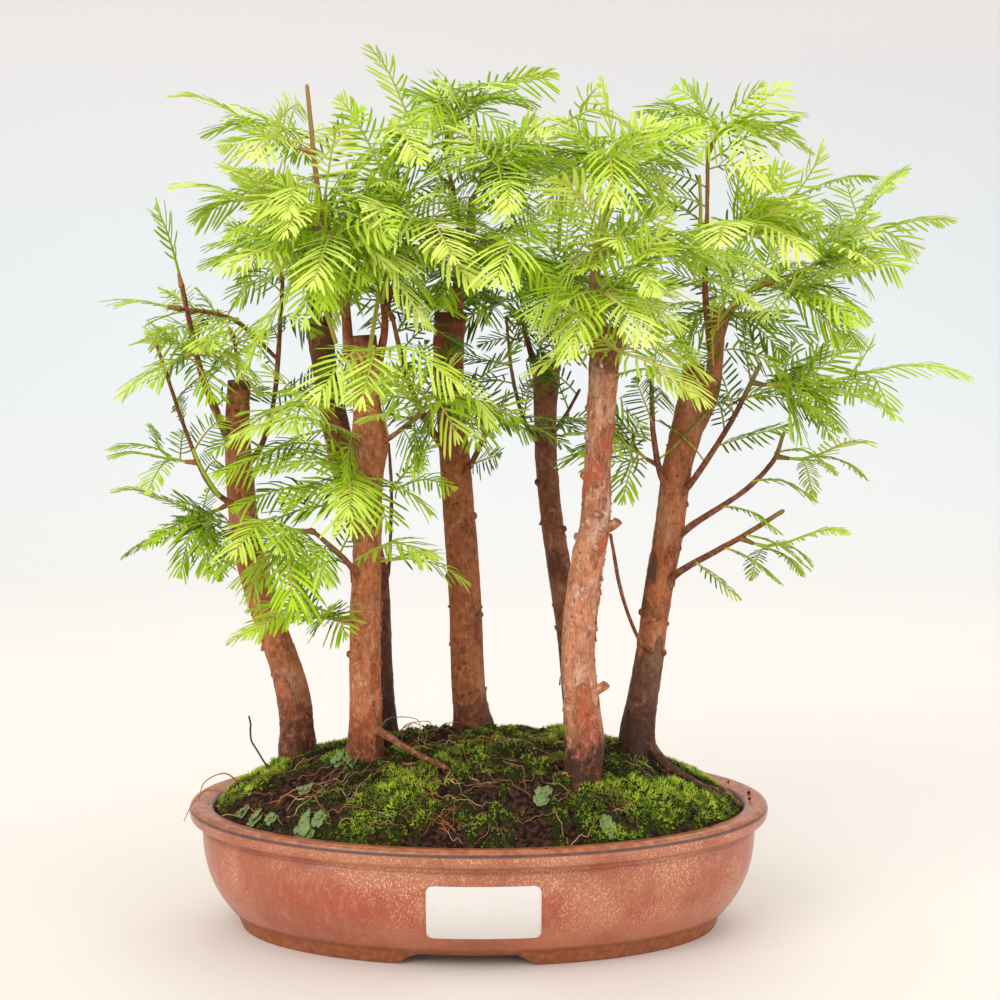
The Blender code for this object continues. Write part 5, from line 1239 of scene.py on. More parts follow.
# The plain bars and fronds that stand for wood and shoots while room is sought, and how they
# grow: sides, diameters, lengths in millimetres, and angles in degrees.
TRUNK_SIDES, LIMB_SIDES, THIN_LIMB_SIDES, THIN_LIMB, SPUR_SIDES = 8, 5, 4, 5.0, 3
KNOB_HEIGHT, KNOB_RISE, KNOB_DIAMETERS = 2.2, 0.25, (5.4, 2.8)
STEM_DIAMETER, RIB_WIDTH, RIB_TIP_WIDTH, RIB_DEPTH_SHARE = 2.6, 1.6, 0.9, 0.87
FROND_LENGTH, LEAF_PAIR_STEP, LEAF_LENGTH = 45.0, 9.6, 17.5
STALK, STEM_STEP, SPUR_GAP, BARE_SHARE, FORK_SINK = 7.0, 24.0, 0.3, 0.22, 0.35
FIRST_ROW, SECOND_ROW, SIDE_PLACES = 7.5, 34.0, np.array([0.65, 0.3])
SIDE_SHARES, SIDE_ANGLES, SIDE_LIFT, MOST_ROLL = (0.72, 0.9), (46.0, 62.0), 6.0, 15.0
LEAN_AT_FOOT, LEAN_AT_TIP, LEAF_DROOP, FROND_DROOP = 64.0, 34.0, 0.22, 0.45
AXIS_POINTS, AXIS_RISE = 25, 0.16


def plain_bar(path, diameters, sides):
    """A coarse round bar along a path, with flat ends."""
    path = np.asarray(path, float)
    forward = tangents(path)
    turn = np.linspace(0, 2 * math.pi, sides, endpoint=False)
    normal, rings = across(forward[0]), []
    for place, ahead, diameter in zip(path, forward, diameters):
        normal = across(ahead, normal)
        ring = np.outer(np.cos(turn), normal) + np.outer(np.sin(turn), np.cross(ahead, normal))
        rings.append(place + ring * diameter / 2)
    return np.vstack(rings), [face for group in capped(len(path), sides) for face in group.tolist()]


def plain_wood():
    """All the wood as coarse bars, which the shoots keep clear of."""
    for tree, wood in TREES.items():
        stations = limb_path(tree, "trunk")
        yield plain_bar(stations[:, :3], stations[:, 3], TRUNK_SIDES)
        for name in wood["limbs"]:
            limb = limb_path(tree, name)
            sides = LIMB_SIDES if limb[0, 3] > THIN_LIMB else THIN_LIMB_SIDES
            yield plain_bar(limb[:, :3], limb[:, 3], sides)
        for height, bearing in wood["knobs"]:
            centre = [np.interp(height, stations[:, 2], stations[:, i]) for i in range(4)]
            turn = math.radians(bearing)
            out = np.array([math.cos(turn), math.sin(turn), KNOB_RISE])
            foot = np.array([centre[0], centre[1], height])
            ends = [foot + out * centre[3] / 4, foot + out * (centre[3] / 2 + KNOB_HEIGHT)]
            yield plain_bar(ends, KNOB_DIAMETERS, SPUR_SIDES)
        for spray in SPRAYS:
            if spray[0] == tree:
                yield plain_bar(spur_of(spray)[:2], SPUR_DIAMETERS, SPUR_SIDES)


def axis_of(start, way, reach):
    """A shoot's axis, a cubic Bezier curve: it leaves its spur straight, rises a little and
    droops to the reach point."""
    span = np.linalg.norm(reach - start)
    line = unit(reach - start)
    t = np.linspace(0, 1, AXIS_POINTS)[:, None]
    first = start + way * span * 0.35
    second = reach - line * span * 0.35 + UP * span * AXIS_RISE
    return (1 - t)**3 * start + 3 * (1 - t)**2 * t * first + 3 * (1 - t) * t**2 * second + t**3 * reach


def runs(path):
    """The distance run along a path at each of its points."""
    return np.concatenate([[0.0], np.cumsum(np.linalg.norm(np.diff(path, axis=0), axis=1))])


def at_runs(path, values, marks):
    """What values hold at given distances along a path."""
    run = runs(path)
    return np.column_stack([np.interp(marks, run, values[:, i]) for i in range(3)])


def arched(foot, ahead, length, droop=FROND_DROOP):
    """A side shoot's axis: it sets out along ahead and bends down under its own weight."""
    t = np.linspace(0, 1, AXIS_POINTS)[:, None]
    middle = foot + ahead * length * 0.5
    end = foot + unit(ahead - UP * droop) * length * 0.97
    return (1 - t)**2 * foot + 2 * (1 - t) * t * middle + t**2 * end


def rib_marks(path, bare):
    """Where along its axis a shoot's stations lie: on the bare stem, then one a coarse pair."""
    total = runs(path)[-1]
    pairs = max(3, round((total - bare) / LEAF_PAIR_STEP))
    steps = max(1, round(bare / STEM_STEP))
    stem = np.linspace(0, bare, steps, endpoint=False)
    return steps, np.concatenate([stem, np.linspace(bare, total - 2.0, pairs + 1)])


def leaf_length(t):
    """How long leaves are along a shoot's leafy part: longest a third of the way out."""
    return LEAF_LENGTH * (0.62 + 1.5 * t - 1.9 * t**2 + 0.2 * t**3)


def plain_frond(path, bare, width, roll):
    """The space that a shoot takes: a three-sided rib with one coarse leaf a stretch and side."""
    bare_steps, marks = rib_marks(path, bare)
    total, pairs = runs(path)[-1], len(marks) - 1 - bare_steps
    rib = at_runs(path, path, marks)
    ahead = at_runs(path, tangents(path), marks)
    points, normal = [], UP
    for place, forward, mark in zip(rib, ahead, marks):
        forward = unit(forward)
        normal = across(forward, normal)
        side = np.cross(normal, forward)
        face = normal * math.cos(roll) + side * math.sin(roll)
        wide = width + (RIB_TIP_WIDTH - width) * mark / total
        side = np.cross(face, forward) * wide / 2
        top = place + face * wide * RIB_DEPTH_SHARE / 3
        points += [top + side, top - side, place - face * wide * RIB_DEPTH_SHARE * 2 / 3]
    faces = [(0, 2, 1)]
    for i in range(bare_steps + pairs):
        left, right, under = 3 * i, 3 * i + 1, 3 * i + 2
        faces.append((left, right, right + 3, left + 3))
        sides = ((left, left + 3, under + 3, under), (right, under, under + 3, right + 3))
        if i < bare_steps:
            faces += sides
            continue
        t = (i - bare_steps + 0.5) / pairs
        lean = math.radians(LEAN_AT_FOOT + (LEAN_AT_TIP - LEAN_AT_FOOT) * t)
        forward = unit(rib[i + 1] - rib[i])
        outward = unit(points[left] - points[right])
        droop = unit(2 * points[under] - points[left] - points[right])
        for ring, sign in zip(sides, (1, -1)):
            foot = sum(points[corner] for corner in ring) / 4
            way = math.cos(lean) * forward + math.sin(lean) * sign * outward + LEAF_DROOP * droop
            points.append(foot + unit(way) * leaf_length(t))
            apex = len(points) - 1
            faces += [(a, b, apex) for a, b in zip(ring, ring[1:] + ring[:1])]
    last = 3 * (bare_steps + pairs)
    points.append(rib[-1] + unit(ahead[-1]) * LEAF_LENGTH * 0.45)
    apex = len(points) - 1
    faces += [(last, last + 1, apex), (last + 1, last + 2, apex), (last + 2, last, apex)]
    return np.array(points), faces


def turned(v, about, degrees):
    """A vector turned about a unit axis."""
    angle = math.radians(degrees)
    square = np.cross(about, v)
    return v * math.cos(angle) + square * math.sin(angle) + about * np.dot(about, v) * (1 - math.cos(angle))


class Room:
    """The space already taken: the search tree and the box of each solid placed so far."""

    def __init__(self):
        self.taken = []

    def add(self, solid):
        """Keeps a solid, and gives its number."""
        points, faces = solid
        search = BVHTree.FromPolygons(points.tolist(), faces)
        self.taken.append((search, points.min(axis=0), points.max(axis=0)))
        return len(self.taken) - 1

    def free(self, solid, carriers=(), among=None):
        """Whether a shoot crosses nothing that was placed before. Its first stretch, the first
        four faces, may cross what carries it."""
        points, faces = solid
        corners = points.tolist()
        whole, beyond = BVHTree.FromPolygons(corners, faces), BVHTree.FromPolygons(corners, faces[4:])
        low, high = points.min(axis=0), points.max(axis=0)
        for number, (other, other_low, other_high) in enumerate(self.taken[:among]):
            apart = (low > other_high).any() or (high < other_low).any()
            if not apart and (beyond if number in carriers else whole).overlap(other):
                return False
        return True


def leader(start, way, reach, turn):
    """A leading shoot's axis and bare length: from the spur to a reach point turned about it."""
    yaw, lift, scale = turn
    line = turned(reach - start, UP, yaw)
    line = turned(line, unit(np.cross(line, UP)), lift) * scale
    axis = axis_of(start, way, start + line)
    total = runs(axis)[-1]
    return axis, max(total - FROND_LENGTH, BARE_SHARE * total)


def lateral(axis, bare, place, sign, open_angle, turn):
    """Where a side shoot starts on a leading one's rib, and the way it sets out."""
    swing, lift, _ = turn
    _, marks = rib_marks(axis, bare)
    rib = at_runs(axis, axis, marks)
    foot = np.array([np.interp(place, marks, rib[:, i]) for i in range(3)])
    following = np.searchsorted(marks, place)
    ahead = unit(rib[following] - rib[following - 1])
    out = turned(ahead, across(ahead), sign * (open_angle + swing))
    return foot, unit(out + UP * math.sin(math.radians(lift + SIDE_LIFT)))


LEAF_STEP = 3.3
LEAF_WIDTH = 1.55
LEAF_FOLD = 0.16
# The stations of a fine needle and of a plain one, and their shares of the full width.
FINE_LEAF = (np.array([0.08, 0.5, 0.88]), np.array([0.62, 1.0, 0.78]))
PLAIN_LEAF = (np.array([0.2, 0.8]), np.array([0.9, 0.86]))


def leaves(foot, way, face, long, wide, bend, form):
    """Flat needles, folded along their middle. A needle's middle line runs out from its foot as
    long * (s * way + s^2 * bend), where s is the share of its length. At each station it has two
    edges and a keel, and its ends are points."""
    run, share = form
    side = np.cross(way, face)
    side /= np.linalg.norm(side, axis=-1, keepdims=True)
    s = run[None, :, None]
    middle = foot[:, None] + (way[:, None] * s + bend[:, None] * s**2) * long[:, None, None]
    half = (wide[:, None] * share / 2)[..., None] * side[:, None]
    fold = face[:, None] * LEAF_FOLD
    rings = np.stack([middle + half + fold, middle - fold, middle - half + fold], axis=2)
    tip = foot + (way + bend) * long[:, None]
    size = 3 * len(run) + 2
    points = np.concatenate([foot[:, None], rings.reshape(len(foot), size - 2, 3), tip[:, None]], axis=1)
    k, after = np.arange(3), (np.arange(3) + 1) % 3
    end = size - 4
    fans = np.array([0 * k, 1 + after, 1 + k]).T, np.array([end + k, end + after, 0 * k + size - 1]).T
    fans = np.concatenate(fans)
    low = (1 + 3 * np.arange(len(run) - 1))[:, None]
    bands = np.stack([low + k, low + after, low + 3 + after, low + 3 + k], -1).reshape(-1, 4)
    shift = size * np.arange(len(foot))[:, None, None]
    faces = [(fans[None] + shift).reshape(-1, 3), (bands[None] + shift).reshape(-1, 4)]
    return points.reshape(-1, 3), faces


def leafy_shoot(path, bare, width, roll, tone, size, dice, form=FINE_LEAF):
    """A shoot: a thin tapering rib along the path with needles in pairs, close together past the
    bare length and sparse before it. A needle leaves the rib at a lean that closes towards the
    shoot's tip, where the needles are the youngest and brightest. Gives its points, faces and
    each point's tone and share of stem."""
    total = runs(path)[-1]
    step = LEAF_STEP * size**0.55
    q = np.linspace(0, 1, max(3, int((total - bare - 1.0) / step)), endpoint=False)
    marks = bare + (total - bare - 1.0) * (1 - (1 - q) ** 1.3)
    sparse = np.arange(step * 1.5, bare, step * 1.9) if bare > 12 else np.zeros(0)
    t = np.concatenate([np.full(len(sparse), -1.0), (marks - bare) / (total - bare)])
    marks = np.concatenate([sparse, marks])
    rib_run = np.linspace(0, total, max(5, int(total / 6)))
    rib = at_runs(path, path, rib_run)
    radii = (width + (0.75 - width) * rib_run / total) / 2
    rib_points, rib_faces = round_bar(rib, radii, 3)
    corners = 3 * len(form[0]) + 2
    foot = at_runs(path, path, marks)
    ahead, normal, _ = carried(path)
    ahead, normal = at_runs(path, ahead, marks), at_runs(path, normal, marks)
    side = np.cross(normal, ahead)
    face = normal * math.cos(roll) + side * math.sin(roll)
    side = np.cross(face, ahead)
    short = LEAF_LENGTH * dice.uniform(0.45, 0.75, len(t))
    long = size * np.where(t < 0, short, leaf_length(np.maximum(t, 0)))
    flex, curl = dice.uniform(0.0, 0.34), dice.uniform(0.0, 0.42)
    lean = np.radians(np.where(t < 0, 58.0, LEAN_AT_FOOT + (LEAN_AT_TIP - LEAN_AT_FOOT) * t))
    parts = [(rib_points, rib_faces)]
    tones = [np.full(len(rib_points), tone)]
    stems = [np.ones(len(rib_points))]
    for sign in (1, -1):
        wobble = dice.normal(0, 1, (4, len(t)))
        angle = lean + np.radians(8.0) * wobble[0]
        way = np.cos(angle)[:, None] * ahead + np.sin(angle)[:, None] * sign * side
        way = way + face * (0.02 + 0.12 * wobble[1])[:, None]
        way /= np.linalg.norm(way, axis=-1, keepdims=True)
        tilt = face + side * (0.32 * wobble[2])[:, None]
        reach = long * np.clip(1 + 0.13 * wobble[3], 0.6, 1.3)
        sag = flex + 0.08 * wobble[1] + np.where(t < 0, 0.15, 0.0)
        bend = ahead * (curl + 0.09 * wobble[0])[:, None] - UP * sag[:, None]
        wide = LEAF_WIDTH * size**0.4 * (0.75 + 0.25 * reach / LEAF_LENGTH)
        parts.append(leaves(foot, way, tilt, reach, wide, bend, form))
        shade = tone - 0.19 + 0.36 * np.maximum(t, 0) + 0.07 * wobble[3]
        tones.append((shade[:, None] + np.linspace(0.08, -0.04, corners)).ravel())
        stems.append(np.tile(np.linspace(0.35, 0.0, corners), len(t)))
    if total > bare:
        long, wide, bend = np.array([LEAF_LENGTH * 0.42 * size]), np.array([1.1]), -0.15 * UP[None]
        for swing in (-0.32, 0.0, 0.32):
            out = ahead[-1:] + side[-1:] * swing
            out /= np.linalg.norm(out)
            parts.append(leaves(rib[-1:], out, face[-1:], long, wide, bend, form))
            tones.append(np.full(corners, tone + 0.19))
            stems.append(np.zeros(corners))
    points, faces = merged(parts)
    return points, faces, np.concatenate(tones), np.concatenate(stems)


def tone_of(tip, dice):
    """How bright and yellow a shoot is, 0 to 1: more far out, more at the front and at the top as painted
    light, and less inside the crown as painted shade."""
    x, y, z = tip
    lit = 0.32 + 0.24 * np.clip(-y / 90, -0.8, 1) + 0.18 * np.clip((z - 270) / 110, -0.8, 1)
    inner = -0.13 if abs(x) < 70 and y > -50 and z < 350 else 0.0
    return float(lit + inner + 0.08 * np.clip(abs(x) / 160, 0, 1) + dice.uniform(-0.20, 0.20))


def vigour(tip):
    """The needles' size as a share: larger at the front, smaller behind and low at the right."""
    x, y, z = tip
    weak = max(ease(x, 70, 120) * ease(250 - z, 0, 40), 0.8 * ease(-x, 110, 150) * ease(300 - z, 0, 60))
    grown = 0.78 + 0.17 * np.clip(-y / 90, -1, 1) + 0.06 * np.clip((z - 280) / 90, -1, 1)
    return float(grown * (1 - 0.42 * weak))


# Strong shoots that lean out towards the front: the three places that each passes, the size of
# its needles, how bright it is and how far it is turned over. Then the paths of bare green stems.
FANS = (
    (-56, -45, 219, -54, -72, 216, -52, -95, 204, 1.2, 0.75, 0.0),
    (-88, -50, 201, -94, -73, 200, -100, -92, 193, 1.05, 0.75, 0.2),
    (-68, -14, 228, -86, -24, 230, -112, -40, 219, 0.85, 0.4, 0.5),
    (-61, -22, 208, -85, -28, 211, -105, -36, 204, 0.8, 0.3, 0.6),
    (-63, -18, 202, -81, -22, 200, -101, -30, 191, 0.8, 0.22, 0.4),
    (-65, -20, 223, -80, -30, 228, -95, -46, 221, 0.75, 0.5, 0.1),
    (-100, 0, 226, -109, -10, 232, -119, -20, 227, 0.65, 0.3, 0.3),
    (-111, 0, 189, -126, -8, 194, -145, -16, 187, 0.75, 0.35, 0.5),
    (-81, -60, 196, -80, -74, 185, -78, -84, 171, 0.85, 0.5, -0.1),
    (-61, -24, 151, -79, -48, 161, -96, -70, 154, 0.95, 0.65, 0.3),
    (-55, -28, 178, -37, -48, 189, -22, -62, 186, 0.9, 0.68, -0.3),
    (-52, -30, 234, -75, -58, 245, -100, -76, 240, 0.75, 0.8, 0.2),
    (-40, -18, 208, -31, -22, 219, -21, -28, 231, 0.55, 0.35, 0.3),
    (-40, -18, 208, -24, -30, 215, -12, -40, 213, 0.6, 0.55, -0.5),
    (-57, -26, 212, -69, -46, 226, -85, -60, 223, 0.75, 0.6, 0.2),
    (-44, -62, 275, -54, -78, 273, -64, -94, 259, 1.0, 0.85, 0.3),
    (-44, -62, 275, -43, -84, 273, -46, -104, 258, 1.1, 0.85, 0.0),
    (-43, -62, 275, -26, -75, 275, -9, -86, 262, 0.9, 0.8, -0.3),
    (-17, -70, 268, -5, -75, 263, 5, -80, 246, 0.75, 0.75, -0.2),
    (14, -50, 347, 14, -73, 344, 13, -92, 334, 0.62, 0.9, 0.0),
    (18, -52, 323, 15, -78, 321, 9, -102, 306, 1.05, 0.8, 0.1),
    (-43, -26, 369, -33, -52, 368, -24, -76, 355, 0.9, 0.8, -0.2),
    (-34, -36, 315, -18, -56, 318, -2, -76, 304, 0.85, 0.9, -0.3),
    (9, -18, 386, 18, -22, 390, 31, -26, 392, 0.75, 0.65, 1.0),
    (45, -16, 374, 47, -20, 381, 52, -24, 387, 0.5, 0.95, 0.5),
    (38, -30, 372, 51, -40, 377, 65, -52, 370, 0.85, 0.9, 0.4),
    (52, -44, 360, 56, -64, 357, 57, -84, 339, 0.95, 0.75, 0.0),
    (-75, -36, 344, -77, -60, 343, -78, -82, 332, 0.75, 0.9, 0.0),
    (-71, -46, 311, -67, -68, 310, -63, -88, 296, 0.75, 0.55, 0.1),
    (-107, -20, 286, -113, -38, 286, -119, -56, 276, 0.75, 0.7, 0.2),
    (60, -40, 262, 74, -62, 266, 89, -84, 258, 0.65, 0.85, -0.2),
    (70, -44, 311, 93, -60, 318, 115, -74, 308, 0.65, 0.9, -0.2),
    (83, -40, 299, 102, -56, 304, 117, -72, 294, 0.6, 0.85, -0.2),
    (69, -52, 310, 70, -74, 309, 73, -94, 300, 0.6, 0.9, 0.0),
    (106, 2, 357, 123, 0, 368, 140, -2, 374, 0.85, 0.55, 0.5),
    (145, -10, 300, 160, -16, 300, 172, -22, 287, 0.65, 0.4, -0.2),
    (167, -10, 262, 178, -18, 260, 184, -26, 246, 0.75, 0.5, -0.2),
    (112, -8, 181, 124, -14, 177, 137, -18, 167, 0.5, 0.4, 0.3),
    (122, -10, 187, 136, -16, 184, 149, -20, 174, 0.5, 0.45, 0.2),
    (100, -6, 174, 108, -14, 168, 118, -18, 160, 0.42, 0.35, 0.0),
    (126, -4, 211, 139, -10, 212, 152, -14, 205, 0.5, 0.45, 0.3),
    (112, -2, 199, 124, -10, 198, 136, -16, 190, 0.45, 0.4, 0.1),
    (136, -5, 224, 148, -8, 226, 160, -12, 219, 0.5, 0.5, 0.0),
    (-40, -14, 291, -26, -22, 296, -9, -30, 289, 0.85, 0.5, 0.2),
    (-12, 6, 292, -22, -8, 298, -32, -22, 286, 0.8, 0.25, -0.4),
    (-10, 4, 296, -2, -12, 299, 4, -28, 287, 0.8, 0.3, 0.4),
    (-38, 2, 279, -24, -2, 282, -6, -8, 273, 0.9, 0.12, 0.5),
    (-13, 10, 306, -15, -14, 306, -16, -34, 294, 0.85, 0.35, 0.0),
    (-8, 12, 310, 8, -4, 309, 20, -18, 298, 0.8, 0.25, -0.3),
)
GREEN_STEMS = (
    ((-44, -14, 300), (-49, -40, 262), (-46, -54, 272), (-44, -63, 276)),
    ((-58, -14, 292), (-57, -16, 302), (-58, -18, 313)),
    ((-60, -12, 294), (-63, -16, 307), (-67, -20, 322)),
    ((-41, -6, 330), (-35, -8, 342), (-29, -12, 357), (-24, -14, 368)),
    ((-43, -16, 293), (-39, -22, 307), (-33, -30, 318)),
    ((-64, -14, 275), (-67, -20, 286), (-71, -26, 297)),
    ((-121, 9, 202), (-125, 7, 209), (-129, 5, 217), (-132, 3, 225)),
    ((53, -34, 299), (51, -34, 312), (52, -34, 327)), ((56, -30, 311), (55, -28, 324), (58, -26, 339)),
    ((100, 0, 317), (101, -2, 333), (100, -4, 350)), ((37, 10, 316), (38, 8, 335), (40, 6, 353)),
)
leaf = begun("needles")
tone, stem = leaf.mark("tone"), leaf.mark("stem")
blade = leaf.mix(leaf.span(tone, 0.0, 0.40), (0.045, 0.135, 0.004), (0.37, 0.56, 0.008))
blade = leaf.mix(leaf.span(tone, 0.38, 0.95), blade, (0.66, 0.75, 0.14))
blade = leaf.mix(leaf.span(leaf.noise(90.0, 3.0), 0.45, 0.7, 0.0, 0.22), blade, (0.54, 0.64, 0.05))
patchy = leaf.span(leaf.noise(24.0, 2.0), 0.42, 0.6)
twig = leaf.mix(patchy, (0.40, 0.50, 0.045), (0.58, 0.46, 0.10))
blade = leaf.mix(leaf.span(stem, 0.05, 1.0, 0.0, 0.75), blade, twig)
rough = leaf.span(leaf.noise(500.0), 0.3, 0.7, 0.42, 0.6)
needles = finished(leaf, blade, rough, Specular_IOR_Level=0.14)


def hides_wood(path):
    """Whether a shoot hangs in front of the orange trunk's top or of the two left trunks' lower
    halves, which stand clear of leaves."""
    x, y, z = path[AXIS_POINTS // 2:].T
    top = (x > 48) & (x < 76) & (y < -41) & (z > 222) & (z < 276)
    return (top | ((x > -92) & (x < -40) & (z < 148))).any()


def nearest_tree(path):
    """The tree whose trunk's top stands nearest to where a path starts, seen from above."""
    return min(TREES, key=lambda tree: math.dist(path[0][:2], TREES[tree]["trunk"][-1][:2]))


# How high and how far left the shoots may reach, and the height below which they are few.
CROWN_TOP, LEFT_EDGE, LOW_LIMBS = 390, -148, 185
draw = random.Random(11)
room = Room()
for solid in plain_wood():
    room.add(solid)
wood_count = len(room.taken)
numbers, crowns = dict.fromkeys(TREES, 0), {tree: [] for tree in TREES}
bloom = np.random.RandomState(4)
for spray in SPRAYS:
    tree, _, _, reaches = spray
    numbers[tree] += 1
    _, tip, way = spur_of(spray)
    start = tip + way * SPUR_GAP
    shoots, leaders, stems = [], [], []
    for reach in reaches:
        roll = math.radians(draw.uniform(-MOST_ROLL, MOST_ROLL))
        sunk = FORK_SINK * len(leaders)
        for turn in LEADER_TRIES:
            axis, bare = leader(start + way * sunk, way, np.array(reach, float), turn)
            shoot = plain_frond(axis, bare, STEM_DIAMETER - sunk, roll)
            if room.free(shoot, leaders):
                break
        else:
            continue
        leaders.append(room.add(shoot))
        shoots.append((axis, bare, 1.7, roll))
        stems.append((axis, bare))
        for place in SIDE_PLACES[:int(bare > FIRST_ROW) + int(bare > SECOND_ROW)] * bare:
            for sign in (1, -1):
                length = FROND_LENGTH * draw.uniform(*SIDE_SHARES)
                open_angle = draw.uniform(*SIDE_ANGLES)
                roll = math.radians(draw.uniform(-MOST_ROLL, MOST_ROLL))
                for turn in LATERAL_TRIES:
                    foot, out = lateral(axis, bare, place, sign, open_angle, turn)
                    path = arched(foot, out, length * turn[2])
                    side = plain_frond(path, STALK, RIB_WIDTH, roll)
                    if room.free(side, leaders[-1:]):
                        room.add(side)
                        if not hides_wood(path):
                            shoots.append((path, STALK, 1.1, roll))
                        break
    for axis, bare in stems:
        for place in np.arange(0.1, 0.98, 0.11) * bare:
            chance = 0.6 if spray[1][0] in "ab" else 0.85
            if bare < 10 or bloom.uniform() > chance or spray[1] in ("g3", "g4"):
                continue
            sign, open_angle = bloom.choice((-1, 1)), bloom.uniform(35, 80)
            foot, out = lateral(axis, bare, place, sign, open_angle, (0, bloom.uniform(-45, 50), 1))
            path = arched(foot, out, bloom.uniform(20, 36), bloom.uniform(-0.35, 0.75))
            if hides_wood(path) or path[-1][2] > CROWN_TOP or path[-1][0] < LEFT_EDGE:
                continue
            if room.free(plain_frond(path, 4.0, 1.2, 0.0), (), wood_count):
                shoots.append((path, 4.0, 1.0, bloom.uniform(-1.1, 1.1)))
    grown = []
    for path, bare, width, roll in shoots:
        roll, tone = roll + bloom.uniform(-0.3, 0.3), tone_of(path[-1], bloom)
        grown.append(leafy_shoot(path, bare, width, roll, tone, vigour(path[-1]), bloom))
    crowns[tree].append((f"spray_{tree}_{numbers[tree]:02d}", grown))
for tree, wood in TREES.items():
    for name, limb in wood["limbs"].items():
        if name in ("root", "b5", "c3", "f2", "f3", "g3", "g4", "g5"):
            continue
        limb = np.array(limb, float)
        length = runs(limb[:, :3])[-1]
        for place in np.arange(length * 0.3, length, 12.0 if name[0] == "a" else 8.5):
            station = at_runs(limb[:, :3], limb[:, :3], [place])[0]
            ahead = unit(at_runs(limb[:, :3], tangents(limb[:, :3]), [place])[0])
            out = turned(across(ahead), ahead, bloom.uniform(0, 360))
            out = unit(out + ahead * bloom.uniform(0.1, 0.8) + UP * 0.25)
            path = arched(station, out, bloom.uniform(22, 42), bloom.uniform(-0.3, 0.6))
            across_x, _, level = path[-1]
            if hides_wood(path) or level > CROWN_TOP - 10 or across_x < LEFT_EDGE:
                continue
            if level < LOW_LIMBS and bloom.uniform() < 0.6:
                continue
            number = int(bloom.randint(len(crowns[tree])))
            # Shoots on the limbs stand inside the crown, and their lower tone is painted shade.
            tone = tone_of(path[-1], bloom) - 0.20
            size, roll = 0.85 * vigour(path[-1]), bloom.uniform(-1.2, 1.2)
            shoot = leafy_shoot(path, 5.0, 1.1, roll, tone, size, bloom, PLAIN_LEAF)
            crowns[tree][number][1].append(shoot)
for number, row in enumerate(FANS):
    path, (size, tone, roll) = curve_through(np.reshape(row[:9], (3, 3)), AXIS_POINTS), row[9:]
    sprays = crowns[nearest_tree(path)]
    shoot = leafy_shoot(path, 5.0, 1.4, roll, tone - 0.20, size, bloom)
    sprays[number % len(sprays)][1].append(shoot)
for places in GREEN_STEMS:
    path = curve_through(places, 16)
    points, faces = round_bar(path, np.linspace(1.05, 0.75, 16), 7)
    stem = points, faces, np.full(len(points), 0.5), np.ones(len(points))
    crowns[nearest_tree(path)][0][1].append(stem)
for tree, sprays in crowns.items():
    half = (len(sprays) + 1) // 2 if len(sprays) > 7 else len(sprays)
    for number, group in enumerate((sprays[:half], sprays[half:])):
        if group:
            grown = [shoot for _, shoots in group for shoot in shoots]
            points, faces = merged([shoot[:2] for shoot in grown])
            tones, stems = (np.concatenate([shoot[i] for shoot in grown]) for i in (2, 3))
            marks = {"tone": tones, "stem": stems}
            name, nodes = f"leafy_shoots_{tree}_{number + 1}", [node for node, _ in group]
            shown(name, points, faces, needles, nodes, "leaves", marks).data.shade_flat()


# The label is a plain white paper sticker with round corners, stuck on the front of the wall.
# It is left blank.
LABEL_LOW, LABEL_HIGH = 16.6, 42.8
LABEL_MIDDLE, LABEL_HALF = 2.9, 25.2
LABEL_CORNER = 3.0
# The stretch of the tray's profile that the paper lies against.
WALL = np.array(TRAY_PROFILE[15:24])


def paper_label():
    """A point at (u, z) stands on the wall's ellipse at that height, pushed out a little. The
    half width at a height is drawn in near the top and bottom by the corners' quarter circles."""
    columns, rows = 36, 22
    z = LABEL_LOW + (LABEL_HIGH - LABEL_LOW) * (0.5 - 0.5 * np.cos(np.linspace(0, math.pi, rows)))
    near = np.maximum(LABEL_CORNER - np.minimum(z - LABEL_LOW, LABEL_HIGH - z), 0.0)
    half = LABEL_HALF - (LABEL_CORNER - np.sqrt(np.maximum(LABEL_CORNER**2 - near**2, 0.0)))
    x = LABEL_MIDDLE + np.linspace(-1, 1, columns)[None] * half[:, None]
    inset = np.interp(z, WALL[:, 1], WALL[:, 0])[:, None]
    a, b = TRAY_LENGTH / 2 - inset, TRAY_DEPTH / 2 - inset
    y = -b * np.sqrt(1 - (x / a) ** 2)
    out = np.stack([x / a**2, y / b**2, np.zeros_like(x)], -1)
    out /= np.linalg.norm(out, axis=-1, keepdims=True)
    wall = np.stack([x, y, np.broadcast_to(z[:, None], x.shape)], -1)
    front, back = (wall + out * 0.55).reshape(-1, 3), (wall + out * 0.3).reshape(-1, 3)
    i, j = np.meshgrid(np.arange(rows - 1), np.arange(columns - 1), indexing="ij")
    a = (i * columns + j).ravel()
    quads = np.stack([a, a + 1, a + columns + 1, a + columns], -1)
    count = rows * columns
    edge = np.concatenate([
        np.arange(columns), np.arange(2 * columns - 1, count, columns),
        np.arange(count - 2, count - columns - 1, -1), np.arange(count - 2 * columns, 0, -columns),
    ])
    after = np.roll(edge, -1)
    rim = np.stack([edge, edge + count, after + count, after], -1)
    return np.vstack([front, back]), [np.concatenate([quads, quads[:, ::-1] + count, rim])]


paper = begun("paper")
white = paper.mix(paper.span(paper.noise(900.0, 4.0), 0.4, 0.7), (0.78, 0.74, 0.70), (0.755, 0.715, 0.675))
rough = paper.span(paper.noise(120.0), 0.3, 0.7, 0.3, 0.42)
white_paper = finished(paper, white, rough, paper.relief(paper.noise(2200.0), 0.00004, 0.4))
shown("label_blank", *paper_label(), white_paper, ["blank_label"], "label")


